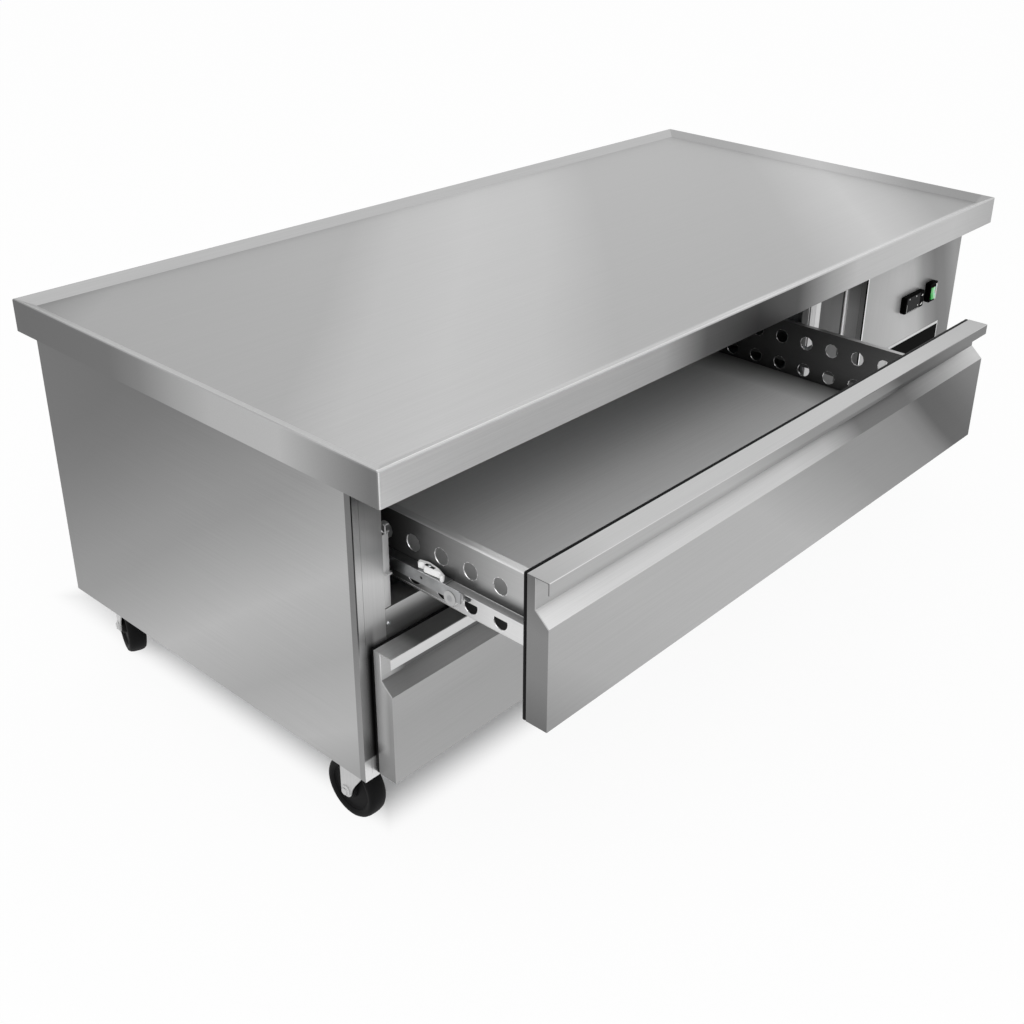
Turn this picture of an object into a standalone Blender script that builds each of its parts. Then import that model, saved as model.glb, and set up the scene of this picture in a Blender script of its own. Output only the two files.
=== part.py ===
"""Refrigerated chef base: a low stainless steel cabinet on swivel casters, with two full-width drawers
on telescopic roller slides, a raised-rim worktop and a machine compartment at the right.

Metres, +Z up, the floor at z = 0. The drawers open towards -Y, and the upper one stands part open.
"""

import math

import bmesh
import bpy
from mathutils import Matrix, Vector

# Fits shared by every piece
GAP = 0.0003
WELD = 0.00001
OVERRUN = 0.002
SHEET = 0.0015

# Facets of round pieces: large ones, small ones, holes and nuts
ROUND_SIDES = 22
SMALL_SIDES = 16
HOLE_SIDES = 10
NUT_SIDES = 6

# Turns sharper than these are bevelled, and drawn with a hard edge
BEVEL_ANGLE = math.radians(50)
CREASE_ANGLE = math.radians(32)

# Worktop: one pressed sheet with a raised drip rim and a skirt on all four sides
TOP_WIDTH = 1.640
TOP_DEPTH = 0.815
TOP_GAUGE = 0.002
TOP_SKIRT = 0.0512
TOP_EDGE_ROUND = 0.0022
RIM_LAND = 0.003
RIM_SLOPE = 0.022
RIM_DROP = 0.011
BACK_OVERHANG = 0.0525

# Cabinet heights, from the floor up
CASTER_HEIGHT = 0.1485
BOTTOM_RAIL = 0.0167
OPENING_HEIGHT = 0.1621
MULLION_HEIGHT = 0.0641
TOP_RAIL = 0.0612

# Cabinet widths: the drawers take what the posts, the recess and the control panel leave
SIDE_FLANGE = 0.012
LEFT_POST = 0.0349
RIGHT_POST = 0.0161
RECESS_WIDTH = 0.1695
RECESS_DEPTH = 0.0425
PANEL_WIDTH = 0.3842

# Sheet pieces of the cabinet
FRAME_GAUGE = 0.002
BASE_GAUGE = 0.002
PANEL_RETURN = 0.012
MULLION_DEPTH = 0.035
BACK_WALL = 0.0447

# Drawer front: a foamed panel with a grip channel pressed along its top
FACE_SETBACK = 0.017
FRONT_DEPTH = 0.033
FRONT_OVERLAP_SIDE = 0.0281
FRONT_OVERLAP_TOP = 0.019
FRONT_ROUND = 0.0008
GRIP_TOP_GAUGE = 0.002
GRIP_LIP_GAUGE = 0.0025
GRIP_LIP_DROP = 0.017
GRIP_BACK_INSET = 0.020
GRIP_BACK_DROP = 0.042
GRIP_SLOPE_DROP = 0.0595

# Drawer gasket: a clip base and a softer bulb, one ring inside the other's width
GASKET_INSET = 0.0015
GASKET_BASE = 0.002
GASKET_BASE_WIDTH = 0.0165
GASKET_BULB = 0.0029
GASKET_BULB_INSET = 0.0045
GASKET_BULB_WIDTH = 0.009

# Drawer frame: perforated sides, back and floor
UPPER_REST_OPENING = 0.2625
LOWER_REST_OPENING = 0.0
BOX_SIDE_CLEARANCE = 0.0405
BOX_RISE = 0.0171
BOX_HEIGHT = 0.104
BOX_BACK_ROOM = 0.0775
BOX_FLANGE = 0.012
BOX_BEND = 0.003
HOLE_RADIUS = 0.0125
HOLE_PITCH = 0.0505
HOLE_START = 0.1042
HOLE_END_MARGIN = 0.030
HOLE_UPPER_DROP = 0.035
HOLE_LOWER_DROP = 0.085

# Telescopic slide, measured inwards from the side of the opening
SLIDE_RISE = 0.0305
BRACKET_DEPTH = 0.010
BRACKET_RIB = 0.025
BRACKET_SETBACK = 0.0105
BRACKET_END_INSET = 0.013
BRACKET_HEADROOM = 0.055
BRACKET_WINDOW_LENGTH = 0.120
BRACKET_WINDOW_HEIGHT = 0.080
BRACKET_WINDOW_COUNT = 3
SLIDE_END_PROUD = 0.020
SLIDE_REACH = 0.0115
RUNNER_SIDE_GAP = 0.0015
RUNNER_WIDTH = 0.0097
RUNNER_HEIGHT = 0.020
RUNNER_LENGTH = 0.270
MIDDLE_SETBACK = 0.0165
MIDDLE_END_INSET = 0.006
MIDDLE_GAUGE = 0.002
MIDDLE_WEB_ABOVE = 0.0155
MIDDLE_WEB_BELOW = 0.001
MIDDLE_FLANGE = 0.0157
MIDDLE_FLANGE_SETBACK = 0.029
MIDDLE_LUG_RADIUS = 0.0065
MIDDLE_HOLE_RADIUS = 0.0022
MIDDLE_HOLE_DROP = 0.0075
ROLLER_RADIUS = 0.0105
ROLLER_WIDTH = 0.010
ROLLER_SIDE_GAP = 0.0014
ROLLER_SETBACK = 0.018
ROLLER_ROUND = 0.0012
ROLLER_PIN_RADIUS = 0.003
ROLLER_PIN_PROUD = 0.0008
ROLLER_RIVET_RADIUS = 0.0045
ROLLER_RIVET_HEIGHT = 0.001
RAIL_REACH = 0.0107
RAIL_WEB_BELOW = 0.0065

# Nylon release lever lying on the flange of the upper left middle slide
LEVER_PIVOT_SETBACK = 0.060
LEVER_PIVOT_INSET = 0.0052
LEVER_THICKNESS = 0.0095
LEVER_ROUND = 0.002
LEVER_LENGTH = 0.053
LEVER_WIDTH = 0.017

# Casters: plate, swivelling fork and wheel
CASTER_INSET_X = 0.060
CASTER_FRONT_INSET = 0.113
CASTER_BACK_INSET = 0.110
CASTER_PLATE_LENGTH = 0.095
CASTER_PLATE_WIDTH = 0.075
CASTER_PLATE_GAUGE = 0.004
CASTER_RACE_RADIUS = 0.026
CASTER_RACE_HEIGHT = 0.006
CASTER_HEAD_HEIGHT = 0.010
CASTER_KINGPIN_RADIUS = 0.006
CASTER_TRAIL = 0.033
FORK_LEG_GAUGE = 0.0025
FORK_LEG_WIDTH = 0.042
FORK_EYE_RADIUS = 0.011
WHEEL_RADIUS = 0.050
WHEEL_WIDTH = 0.030
WHEEL_HUB_WIDTH = 0.034
WHEEL_HUB_RADIUS = 0.014
WHEEL_SIDE_GAP = 0.001
WHEEL_WEB_SHARE = 0.667
WHEEL_TREAD_SHARE = 0.70
WHEEL_RIM_SHARE = 0.74
AXLE_RADIUS = 0.005
AXLE_NUT_RADIUS = 0.008
AXLE_NUT_HEIGHT = 0.003
AXLE_END_PROUD = 0.001
FRONT_LEFT_YAW = 0.0
BACK_LEFT_YAW = math.radians(-20)
FRONT_RIGHT_YAW = math.radians(10)
BACK_RIGHT_YAW = math.radians(-12)

# Thermostat and switch on the control panel, from the panel's left edge and the worktop's top
THERMOSTAT_LEFT = 0.145
THERMOSTAT_DROP = 0.1635
THERMOSTAT_WIDTH = 0.077
THERMOSTAT_HEIGHT = 0.035
THERMOSTAT_PROUD = 0.012
BODY_INSET = 0.003
THERMOSTAT_BODY_DEPTH = 0.055
THERMOSTAT_ROUND = 0.003
KEY_WIDTH = 0.012
KEY_HEIGHT = 0.007
KEY_THICKNESS = 0.003
KEY_PROUD = 0.0008
KEY_TRAVEL = 0.0006
KEY_EDGE = 0.006
KEY_SPREAD_SHARE = 0.25
SWITCH_LEFT = 0.2455
SWITCH_DROP = 0.1640
SWITCH_WIDTH = 0.0255
SWITCH_HEIGHT = 0.0345
SWITCH_PROUD = 0.012
SWITCH_RIM = 0.0042
SWITCH_BODY_DEPTH = 0.022
SWITCH_FLOOR = 0.0025
SWITCH_ROUND = 0.0015
ROCKER_DEPTH = 0.009
ROCKER_PROUD = 0.0006
ROCKER_TILT = math.radians(6)
ROCKER_HEEL_SHARE = 0.5
ROCKER_HEEL_WIDTH_SHARE = 0.33

# Vents: slots in the control panel's lower half and in the back panel
SLOT_HEIGHT = 0.006
SLOT_PITCH = 0.014
SLOT_WIDTH = 0.120
SLOT_COLUMN_GAP = 0.025
PANEL_SLOT_COUNT = 9
PANEL_SLOT_RISE = 0.022
BACK_SLOT_COUNT = 12
BACK_SLOT_RISE = 0.090

# Refrigeration: compressor, condenser and fan behind the control panel, evaporator beside the drawers
COMPRESSOR_RADIUS = 0.078
COMPRESSOR_HEIGHT = 0.190
COMPRESSOR_FOOT = 0.014
COMPRESSOR_FOOT_PLATE = 0.003
COMPRESSOR_BACK_INSET = 0.150
CAN_SHOULDER_SHARE = 0.35
CAN_CROWN_SHARE = 0.105
CAN_WAIST_SHARE = 0.70
CONDENSER_WIDTH = 0.300
CONDENSER_HEADROOM = 0.0087
CONDENSER_DEPTH = 0.050
CONDENSER_SETBACK = 0.030
CONDENSER_FIN_COUNT = 18
CONDENSER_FIN_DEPTH = 0.012
CONDENSER_GROOVE_SHARE = 0.5
SHROUD_DEPTH = 0.045
SHROUD_INSET = 0.002
FAN_RADIUS = 0.105
FAN_HUB_RADIUS = 0.025
FAN_DEPTH = 0.022
FAN_TIP_GAP = 0.006
FAN_PITCH = math.radians(28)
FAN_BLADES = 5
FAN_BLADE_GAUGE = 0.0015
FAN_BLADE_REACH_SHARE = 0.42
FAN_SHAFT_RADIUS = 0.004
FAN_BAR_HEIGHT = 0.020
FAN_BAR_GAUGE = 0.003
POCKET_DEPTH = 0.1406
POCKET_SETBACK = 0.112
POCKET_LENGTH = 0.390
POCKET_MARGIN = 0.020
EVAPORATOR_FACE_INSET = 0.010
EVAPORATOR_FAN_RADIUS = 0.075

# Gland where the supply cord leaves the back panel
GLAND_RADIUS = 0.013
GLAND_FLANGE_RADIUS = 0.018
GLAND_FLANGE_HEIGHT = 0.004
GLAND_HEIGHT = 0.018
GLAND_BORE_RADIUS = 0.005
GLAND_INSET_X = 0.090
GLAND_RISE = 0.050

# Levels and lines that everything hangs on
BODY_BOTTOM = CASTER_HEIGHT
LOWER_OPENING = BODY_BOTTOM + BOTTOM_RAIL
UPPER_OPENING = LOWER_OPENING + OPENING_HEIGHT + MULLION_HEIGHT
BODY_TOP = UPPER_OPENING + OPENING_HEIGHT + TOP_RAIL
DECK = BODY_TOP + GAP + TOP_GAUGE
TOP = DECK + RIM_DROP

LEFT = -TOP_WIDTH / 2
RIGHT = TOP_WIDTH / 2
BODY_LEFT = LEFT + TOP_GAUGE + GAP
BODY_RIGHT = RIGHT - TOP_GAUGE - GAP
FRAME_LEFT = BODY_LEFT + SIDE_FLANGE + GAP
OPEN_LEFT = FRAME_LEFT + LEFT_POST
PANEL_LEFT = BODY_RIGHT - PANEL_WIDTH
LINER_RIGHT = PANEL_LEFT + SHEET
FRAME_RIGHT = PANEL_LEFT - RECESS_WIDTH
OPEN_RIGHT = FRAME_RIGHT - RIGHT_POST
OPEN_MIDDLE = (OPEN_LEFT + OPEN_RIGHT) / 2

OPEN_REACH = max(0, UPPER_REST_OPENING - FACE_SETBACK, LOWER_REST_OPENING - FACE_SETBACK)
FRONT = (OPEN_REACH - TOP_DEPTH) / 2
FACE = FRONT + FACE_SETBACK
BOX_FRONT = FACE + FRONT_DEPTH + GAP
FRAME = BOX_FRONT + GASKET_BASE + GASKET_BULB + GAP
LINER_FRONT = FRAME + FRAME_GAUGE + GAP
RECESS_BACK = FRAME + RECESS_DEPTH
BODY_BACK = FRONT + TOP_DEPTH - BACK_OVERHANG
BODY_BASE = BODY_BOTTOM + BASE_GAUGE + GAP
CAVITY_BACK = BODY_BACK - BACK_WALL
BOX_BACK = CAVITY_BACK - BOX_BACK_ROOM
BOX_LENGTH = BOX_BACK - BOX_FRONT

AXLE_LEVEL = WHEEL_RADIUS * math.cos(math.pi / ROUND_SIDES)

# Colours in linear light, roughness and metallic value of each finish
FINISHES = {
    "satin_steel": ((0.56, 0.56, 0.55), 0.34, 1.0),
    "dark_steel": ((0.30, 0.30, 0.30), 0.42, 1.0),
    "zinc": ((0.50, 0.51, 0.53), 0.38, 1.0),
    "liner": ((0.62, 0.63, 0.63), 0.45, 1.0),
    "rubber": ((0.012, 0.012, 0.012), 0.70, 0.0),
    "nylon": ((0.86, 0.86, 0.84), 0.35, 0.0),
    "black_plastic": ((0.010, 0.010, 0.011), 0.35, 0.0),
    "green_lens": ((0.02, 0.42, 0.06), 0.20, 0.0),
    "black_enamel": ((0.015, 0.015, 0.016), 0.30, 0.0),
    "grey_plastic": ((0.20, 0.20, 0.20), 0.50, 0.0),
}

for stale in list(bpy.data.objects):
    bpy.data.objects.remove(stale, do_unlink=True)

assembly = bpy.data.collections.new("refrigerated_chef_base")
bench = bpy.data.collections.new("shaping")
bpy.context.scene.collection.children.link(assembly)
bpy.context.scene.collection.children.link(bench)


# Shaping tools: each gives a closed mesh in world coordinates

def baked(obj):
    """The evaluated mesh of an object, which is then removed."""
    bpy.context.view_layer.update()
    graph = bpy.context.evaluated_depsgraph_get()
    mesh = bpy.data.meshes.new_from_object(obj.evaluated_get(graph))
    mesh.transform(obj.matrix_world)
    bpy.data.objects.remove(obj, do_unlink=True)
    return mesh


def on_bench(data):
    obj = bpy.data.objects.new("blank", data)
    bench.objects.link(obj)
    return obj


def mesh_from(bm):
    mesh = bpy.data.meshes.new("blank")
    bm.to_mesh(mesh)
    bm.free()
    return mesh


def cleaned(mesh):
    bm = bmesh.new()
    bm.from_mesh(mesh)
    bmesh.ops.remove_doubles(bm, verts=bm.verts, dist=WELD)
    bmesh.ops.recalc_face_normals(bm, faces=bm.faces)
    bm.to_mesh(mesh)
    bm.free()
    return mesh


def block(low, high):
    """A box between two corners."""
    low = Vector(low)
    high = Vector(high)
    bm = bmesh.new()
    bmesh.ops.create_cube(bm, size=1)
    bmesh.ops.scale(bm, vec=high - low, verts=bm.verts)
    bmesh.ops.translate(bm, vec=(low + high) / 2, verts=bm.verts)
    return mesh_from(bm)


def turn_to(axis):
    """Rotation that brings local (u, v, w) to world axes, with w along the axis named."""
    rows = {
        "X": ((0, 0, 1), (1, 0, 0), (0, 1, 0)),
        "Y": ((0, 1, 0), (0, 0, 1), (1, 0, 0)),
        "Z": ((1, 0, 0), (0, 1, 0), (0, 0, 1)),
    }
    return Matrix(rows[axis]).to_4x4()


def rod(centre, axis, radius, start, end, sides=SMALL_SIDES):
    """A cylinder along an axis: centre is its (u, v), start and end its span along the axis."""
    bm = bmesh.new()
    span = end - start
    bmesh.ops.create_cone(bm, cap_ends=True, segments=sides, radius1=radius, radius2=radius, depth=span)
    bmesh.ops.rotate(bm, cent=(0, 0, 0), matrix=Matrix.Rotation(math.pi / sides, 3, "Z"), verts=bm.verts)
    bmesh.ops.translate(bm, vec=(centre[0], centre[1], (start + end) / 2), verts=bm.verts)
    mesh = mesh_from(bm)
    mesh.transform(turn_to(axis))
    return mesh


def slab(axis, start, end, outline, windows=()):
    """A flat outline of (u, v) points, with windows, extruded along an axis."""
    curve = bpy.data.curves.new("outline", "CURVE")
    curve.dimensions = "2D"
    curve.fill_mode = "BOTH"
    curve.extrude = (end - start) / 2
    for loop in (outline, *windows):
        spline = curve.splines.new("POLY")
        spline.points.add(len(loop) - 1)
        for point, (u, v) in zip(spline.points, loop):
            point.co = (u, v, 0, 1)
        spline.use_cyclic_u = True
    mesh = cleaned(baked(on_bench(curve)))
    mesh.transform(turn_to(axis) @ Matrix.Translation((0, 0, (start + end) / 2)))
    return mesh


def folded(axis, start, end, path, gauge, bend=0):
    """A sheet swept along an axis; its metal lies left of the (u, v) path, which is its outer face."""
    points = rounded(path, bend) if bend else [Vector(p) for p in path]
    bm = bmesh.new()
    lower = [bm.verts.new((p[0], p[1], start)) for p in points]
    upper = [bm.verts.new((p[0], p[1], end)) for p in points]
    for i in range(len(points) - 1):
        bm.faces.new((lower[i], lower[i + 1], upper[i + 1], upper[i]))
    obj = on_bench(mesh_from(bm))
    thicken(obj, gauge)
    mesh = baked(obj)
    mesh.transform(turn_to(axis))
    return mesh


def rounded(path, radius, steps=3):
    """The path with each inner corner turned into an arc."""
    points = [Vector(p) for p in path]
    out = [points[0]]
    for before, corner, after in zip(points, points[1:], points[2:]):
        back = (before - corner).normalized()
        ahead = (after - corner).normalized()
        half = back.angle(ahead) / 2
        centre = corner + (back + ahead).normalized() * (radius / math.sin(half))
        first = corner + back * (radius / math.tan(half)) - centre
        last = corner + ahead * (radius / math.tan(half)) - centre
        for i in range(steps + 1):
            mixed = first.lerp(last, i / steps)
            out.append(centre + mixed.normalized() * radius)
    out.append(points[-1])
    return out


def thicken(obj, gauge):
    solid = obj.modifiers.new("gauge", "SOLIDIFY")
    solid.thickness = gauge
    solid.offset = -1
    solid.use_even_offset = True


def turned(profile, sides=ROUND_SIDES):
    """A closed (radius, height) profile swept round the Z axis."""
    bm = bmesh.new()
    ring = [bm.verts.new((r, 0, z)) for r, z in profile]
    for i in range(len(ring)):
        bm.edges.new((ring[i], ring[(i + 1) % len(ring)]))
    obj = on_bench(mesh_from(bm))
    screw = obj.modifiers.new("turn", "SCREW")
    screw.axis = "Z"
    screw.angle = math.tau
    screw.steps = sides
    screw.render_steps = sides
    screw.use_merge_vertices = True
    screw.merge_threshold = WELD
    return cleaned(baked(obj))


def combined(operation, mesh, others):
    obj = on_bench(mesh)
    tools = []
    for other in others:
        tool = on_bench(other)
        tool.hide_render = True
        tool.display_type = "WIRE"
        step = obj.modifiers.new("shape", "BOOLEAN")
        step.operation = operation
        step.solver = "EXACT"
        step.object = tool
        tools.append(tool)
    result = baked(obj)
    for tool in tools:
        bpy.data.objects.remove(tool, do_unlink=True)
    return result


def joined(mesh, *others):
    return combined("UNION", mesh, others)


def cut(mesh, *others):
    return combined("DIFFERENCE", mesh, others)


def gathered(meshes):
    """Several loose bodies in one mesh, for use as one cutter."""
    bm = bmesh.new()
    for mesh in meshes:
        bm.from_mesh(mesh)
    return mesh_from(bm)


def softened(mesh, width, segments=2):
    obj = on_bench(mesh)
    bevel = obj.modifiers.new("edges", "BEVEL")
    bevel.width = width
    bevel.segments = segments
    bevel.limit_method = "ANGLE"
    bevel.angle_limit = BEVEL_ANGLE
    return baked(obj)


def mirrored(mesh):
    """The mesh's other hand, across the middle of the drawer opening."""
    other = mesh.copy()
    across = Matrix.Scale(-1, 4, (1, 0, 0))
    middle = Matrix.Translation((OPEN_MIDDLE, 0, 0))
    other.transform(middle @ across @ middle.inverted())
    other.flip_normals()
    return other


def moved(mesh, offset, yaw=0):
    mesh.transform(Matrix.Translation(offset) @ Matrix.Rotation(yaw, 4, "Z"))
    return mesh


def part(name, mesh, finish, origin=(0, 0, 0)):
    """One named sub-part with its own material and with its origin where it turns or slides."""
    colour, roughness, metallic = FINISHES[finish]
    material = bpy.data.materials.new(name)
    material.use_nodes = True
    shader = material.node_tree.nodes["Principled BSDF"]
    shader.inputs["Base Color"].default_value = (*colour, 1)
    shader.inputs["Roughness"].default_value = roughness
    shader.inputs["Metallic"].default_value = metallic
    mesh.name = name
    mesh.materials.clear()
    mesh.materials.append(material)
    mesh.transform(Matrix.Translation(-Vector(origin)))
    mesh.shade_smooth()
    mesh.set_sharp_from_angle(angle=CREASE_ANGLE)
    obj = bpy.data.objects.new(name, mesh)
    obj.location = origin
    assembly.objects.link(obj)
    return obj


def rectangle(low, high):
    return [(low[0], low[1]), (high[0], low[1]), (high[0], high[1]), (low[0], high[1])]


def round_window(centre, radius, sides):
    angles = [math.tau * i / sides for i in range(sides)]
    return [(centre[0] + radius * math.cos(a), centre[1] + radius * math.sin(a)) for a in angles]


# Worktop

def worktop():
    bm = bmesh.new()
    bm.from_mesh(block((LEFT, FRONT, TOP - TOP_SKIRT), (RIGHT, FRONT + TOP_DEPTH, TOP)))
    bm.normal_update()
    below = [face for face in bm.faces if face.normal.z < -0.5]
    deck = [face for face in bm.faces if face.normal.z > 0.5]
    bmesh.ops.delete(bm, geom=below, context="FACES_ONLY")
    corners = [edge for edge in bm.edges if abs(edge.verts[0].co.z - edge.verts[1].co.z) > GAP]
    crown = [edge for edge in bm.edges if all(abs(vert.co.z - TOP) < GAP for vert in edge.verts)]
    bmesh.ops.inset_region(bm, faces=deck, thickness=RIM_LAND, use_even_offset=True)
    bmesh.ops.inset_region(bm, faces=deck, thickness=RIM_SLOPE, depth=-RIM_DROP, use_even_offset=True)
    bmesh.ops.bevel(bm, geom=corners + crown, offset=TOP_EDGE_ROUND, segments=2, profile=0.5, affect="EDGES")
    obj = on_bench(mesh_from(bm))
    thicken(obj, TOP_GAUGE)
    return baked(obj)


part("worktop", worktop(), "satin_steel")

# Side skins, base plate and back panel

left_skin = [
    (BODY_LEFT + SIDE_FLANGE, BODY_BACK),
    (BODY_LEFT, BODY_BACK),
    (BODY_LEFT, FRAME),
    (BODY_LEFT + SIDE_FLANGE, FRAME),
]
right_skin = [
    (BODY_RIGHT, FRAME + PANEL_RETURN + GAP),
    (BODY_RIGHT, BODY_BACK),
    (BODY_RIGHT - SIDE_FLANGE, BODY_BACK),
]
part("side_panel_left", folded("Z", BODY_BOTTOM, BODY_TOP, left_skin, SHEET), "satin_steel")
part("side_panel_right", folded("Z", BODY_BOTTOM, BODY_TOP, right_skin, SHEET), "satin_steel")

base_plate = block(
    (BODY_LEFT + SHEET + GAP, FRAME + PANEL_RETURN + GAP, BODY_BOTTOM),
    (BODY_RIGHT - SHEET - GAP, BODY_BACK - SHEET - GAP, BODY_BOTTOM + BASE_GAUGE),
)
part("base_plate", base_plate, "zinc")


def slots(left, bottom, columns, rows):
    """Vent slots as (z, x) windows, in rows and columns from a lower left corner."""
    windows = []
    for column in range(columns):
        for row in range(rows):
            x = left + column * (SLOT_WIDTH + SLOT_COLUMN_GAP)
            z = bottom + row * SLOT_PITCH
            windows.append(rectangle((z, x), (z + SLOT_HEIGHT, x + SLOT_WIDTH)))
    return windows


slots_span = 2 * SLOT_WIDTH + SLOT_COLUMN_GAP
slots_left = (PANEL_LEFT + BODY_RIGHT - slots_span) / 2
back_sheet = rectangle(
    (BODY_BOTTOM, BODY_LEFT + SIDE_FLANGE + GAP),
    (BODY_TOP, BODY_RIGHT - SIDE_FLANGE - GAP),
)
back_slots = slots(slots_left, BODY_BOTTOM + BACK_SLOT_RISE, 2, BACK_SLOT_COUNT)
part("back_panel", slab("Y", BODY_BACK - SHEET, BODY_BACK, back_sheet, back_slots), "zinc")

# Supply cord gland, on the back panel behind the machine compartment

gland_centre = (BODY_RIGHT - GLAND_INSET_X, BODY_BACK + GAP, BODY_BOTTOM + GLAND_RISE)
gland = turned([
    (GLAND_BORE_RADIUS, GLAND_HEIGHT),
    (GLAND_RADIUS, GLAND_HEIGHT),
    (GLAND_RADIUS, GLAND_FLANGE_HEIGHT),
    (GLAND_FLANGE_RADIUS, GLAND_FLANGE_HEIGHT),
    (GLAND_FLANGE_RADIUS, 0),
    (GLAND_BORE_RADIUS, 0),
], SMALL_SIDES)
gland.transform(Matrix.Translation(gland_centre) @ turn_to("Y"))
part("cord_gland", gland, "black_plastic")

# Face frame round the drawer opening, and the mullion between the drawers

frame_sheet = rectangle((BODY_BOTTOM, FRAME_LEFT), (BODY_TOP, FRAME_RIGHT))
frame_window = rectangle((LOWER_OPENING, OPEN_LEFT), (UPPER_OPENING + OPENING_HEIGHT, OPEN_RIGHT))
frame_lip = block(
    (FRAME_LEFT, FRAME + FRAME_GAUGE / 2, BODY_BOTTOM),
    (FRAME_RIGHT, FRAME + PANEL_RETURN, BODY_BOTTOM + BASE_GAUGE),
)
face_frame = joined(slab("Y", FRAME, FRAME + FRAME_GAUGE, frame_sheet, [frame_window]), frame_lip)
part("face_frame", face_frame, "satin_steel")

mullion_top = UPPER_OPENING
mullion_bottom = UPPER_OPENING - MULLION_HEIGHT
mullion_path = [
    (FRAME + MULLION_DEPTH, mullion_top),
    (FRAME, mullion_top),
    (FRAME, mullion_bottom),
    (FRAME + MULLION_DEPTH, mullion_bottom),
]
mullion = folded("X", OPEN_LEFT + GAP, OPEN_RIGHT - GAP, mullion_path, FRAME_GAUGE)
part("mullion", mullion, "satin_steel")

# Insulated liner: one foamed box with the drawer cavity and the evaporator pocket

cavity = block(
    (OPEN_LEFT, LINER_FRONT - OVERRUN, LOWER_OPENING),
    (OPEN_RIGHT, CAVITY_BACK, UPPER_OPENING + OPENING_HEIGHT),
)
pocket_front = FRAME + POCKET_SETBACK
pocket = block(
    (OPEN_RIGHT - OVERRUN, pocket_front, LOWER_OPENING + POCKET_MARGIN),
    (OPEN_RIGHT + POCKET_DEPTH, pocket_front + POCKET_LENGTH, UPPER_OPENING + OPENING_HEIGHT - POCKET_MARGIN),
)
recess_room = block(
    (FRAME_RIGHT - SHEET - GAP, LINER_FRONT - OVERRUN, BODY_BASE - OVERRUN),
    (LINER_RIGHT + OVERRUN, RECESS_BACK + SHEET + GAP, BODY_TOP + OVERRUN),
)
liner = block(
    (BODY_LEFT + SHEET + GAP, LINER_FRONT, BODY_BASE),
    (LINER_RIGHT, BODY_BACK - SHEET - GAP, BODY_TOP),
)
part("insulated_liner", cut(liner, cavity, pocket, recess_room), "liner")

# Facing of the upright recess between the drawers and the control panel

recess_path = [
    (FRAME_RIGHT, LINER_FRONT),
    (FRAME_RIGHT, RECESS_BACK),
    (PANEL_LEFT, RECESS_BACK),
    (PANEL_LEFT, FRAME + PANEL_RETURN + GAP),
]
part("recess_facing", folded("Z", BODY_BASE, BODY_TOP, recess_path, SHEET), "dark_steel")

# Control panel with the cut-outs for the thermostat and the switch

thermostat_left = PANEL_LEFT + THERMOSTAT_LEFT
thermostat_top = TOP - THERMOSTAT_DROP
thermostat_low = (thermostat_left, thermostat_top - THERMOSTAT_HEIGHT)
thermostat_high = (thermostat_left + THERMOSTAT_WIDTH, thermostat_top)
switch_left = PANEL_LEFT + SWITCH_LEFT
switch_top = TOP - SWITCH_DROP
switch_low = (switch_left, switch_top - SWITCH_HEIGHT)
switch_high = (switch_left + SWITCH_WIDTH, switch_top)


def inset_block(low, high, inset, front, back):
    """A box behind a face, drawn in by an inset from the face's (x, z) corners."""
    return block((low[0] + inset, front, low[1] + inset), (high[0] - inset, back, high[1] - inset))


panel_path = [
    (PANEL_LEFT, FRAME + PANEL_RETURN),
    (PANEL_LEFT, FRAME),
    (BODY_RIGHT, FRAME),
    (BODY_RIGHT, FRAME + PANEL_RETURN),
]
panel = folded("Z", BODY_BOTTOM, BODY_TOP, panel_path, SHEET)
panel_slots = [
    block((x0, FRAME - OVERRUN, z0), (x1, FRAME + SHEET + OVERRUN, z1))
    for (z0, x0), _, (z1, x1), _ in slots(slots_left, BODY_BOTTOM + PANEL_SLOT_RISE, 2, PANEL_SLOT_COUNT)
]
hole_inset = BODY_INSET - GAP
panel_holes = [
    inset_block(thermostat_low, thermostat_high, hole_inset, FRAME - OVERRUN, FRAME + SHEET + OVERRUN),
    inset_block(switch_low, switch_high, hole_inset, FRAME - OVERRUN, FRAME + SHEET + OVERRUN),
]
part("control_panel", cut(panel, gathered(panel_slots + panel_holes)), "satin_steel")

# Thermostat: case, and two keys that press into it

thermostat_face = FRAME - GAP - THERMOSTAT_PROUD
thermostat_case = softened(
    inset_block(thermostat_low, thermostat_high, 0, thermostat_face, FRAME - GAP),
    THERMOSTAT_ROUND,
)
thermostat_body = inset_block(
    thermostat_low, thermostat_high, BODY_INSET,
    FRAME - THERMOSTAT_PROUD / 2, FRAME + THERMOSTAT_BODY_DEPTH,
)
key_middle_x = thermostat_high[0] - KEY_EDGE - KEY_WIDTH / 2
key_step = THERMOSTAT_HEIGHT * KEY_SPREAD_SHARE
key_middle_z = (thermostat_low[1] + thermostat_high[1]) / 2
key_levels = {"upper": key_middle_z + key_step, "lower": key_middle_z - key_step}


def key_box(level, margin, front, back):
    half_width = KEY_WIDTH / 2 + margin
    half_height = KEY_HEIGHT / 2 + margin
    return block(
        (key_middle_x - half_width, front, level - half_height),
        (key_middle_x + half_width, back, level + half_height),
    )


key_front = thermostat_face - KEY_PROUD
key_back = key_front + KEY_THICKNESS
key_wells = [
    key_box(level, GAP, thermostat_face - OVERRUN, key_back + KEY_TRAVEL + GAP)
    for level in key_levels.values()
]
thermostat = cut(joined(thermostat_case, thermostat_body), gathered(key_wells))
part("thermostat", thermostat, "black_plastic")
for place, level in key_levels.items():
    key = softened(key_box(level, 0, key_front, key_back), KEY_PROUD / 2, 1)
    part(f"thermostat_key_{place}", key, "grey_plastic", (key_middle_x, key_front, level))

# Power switch: a deep bezel and the rocker that tilts in it

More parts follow.
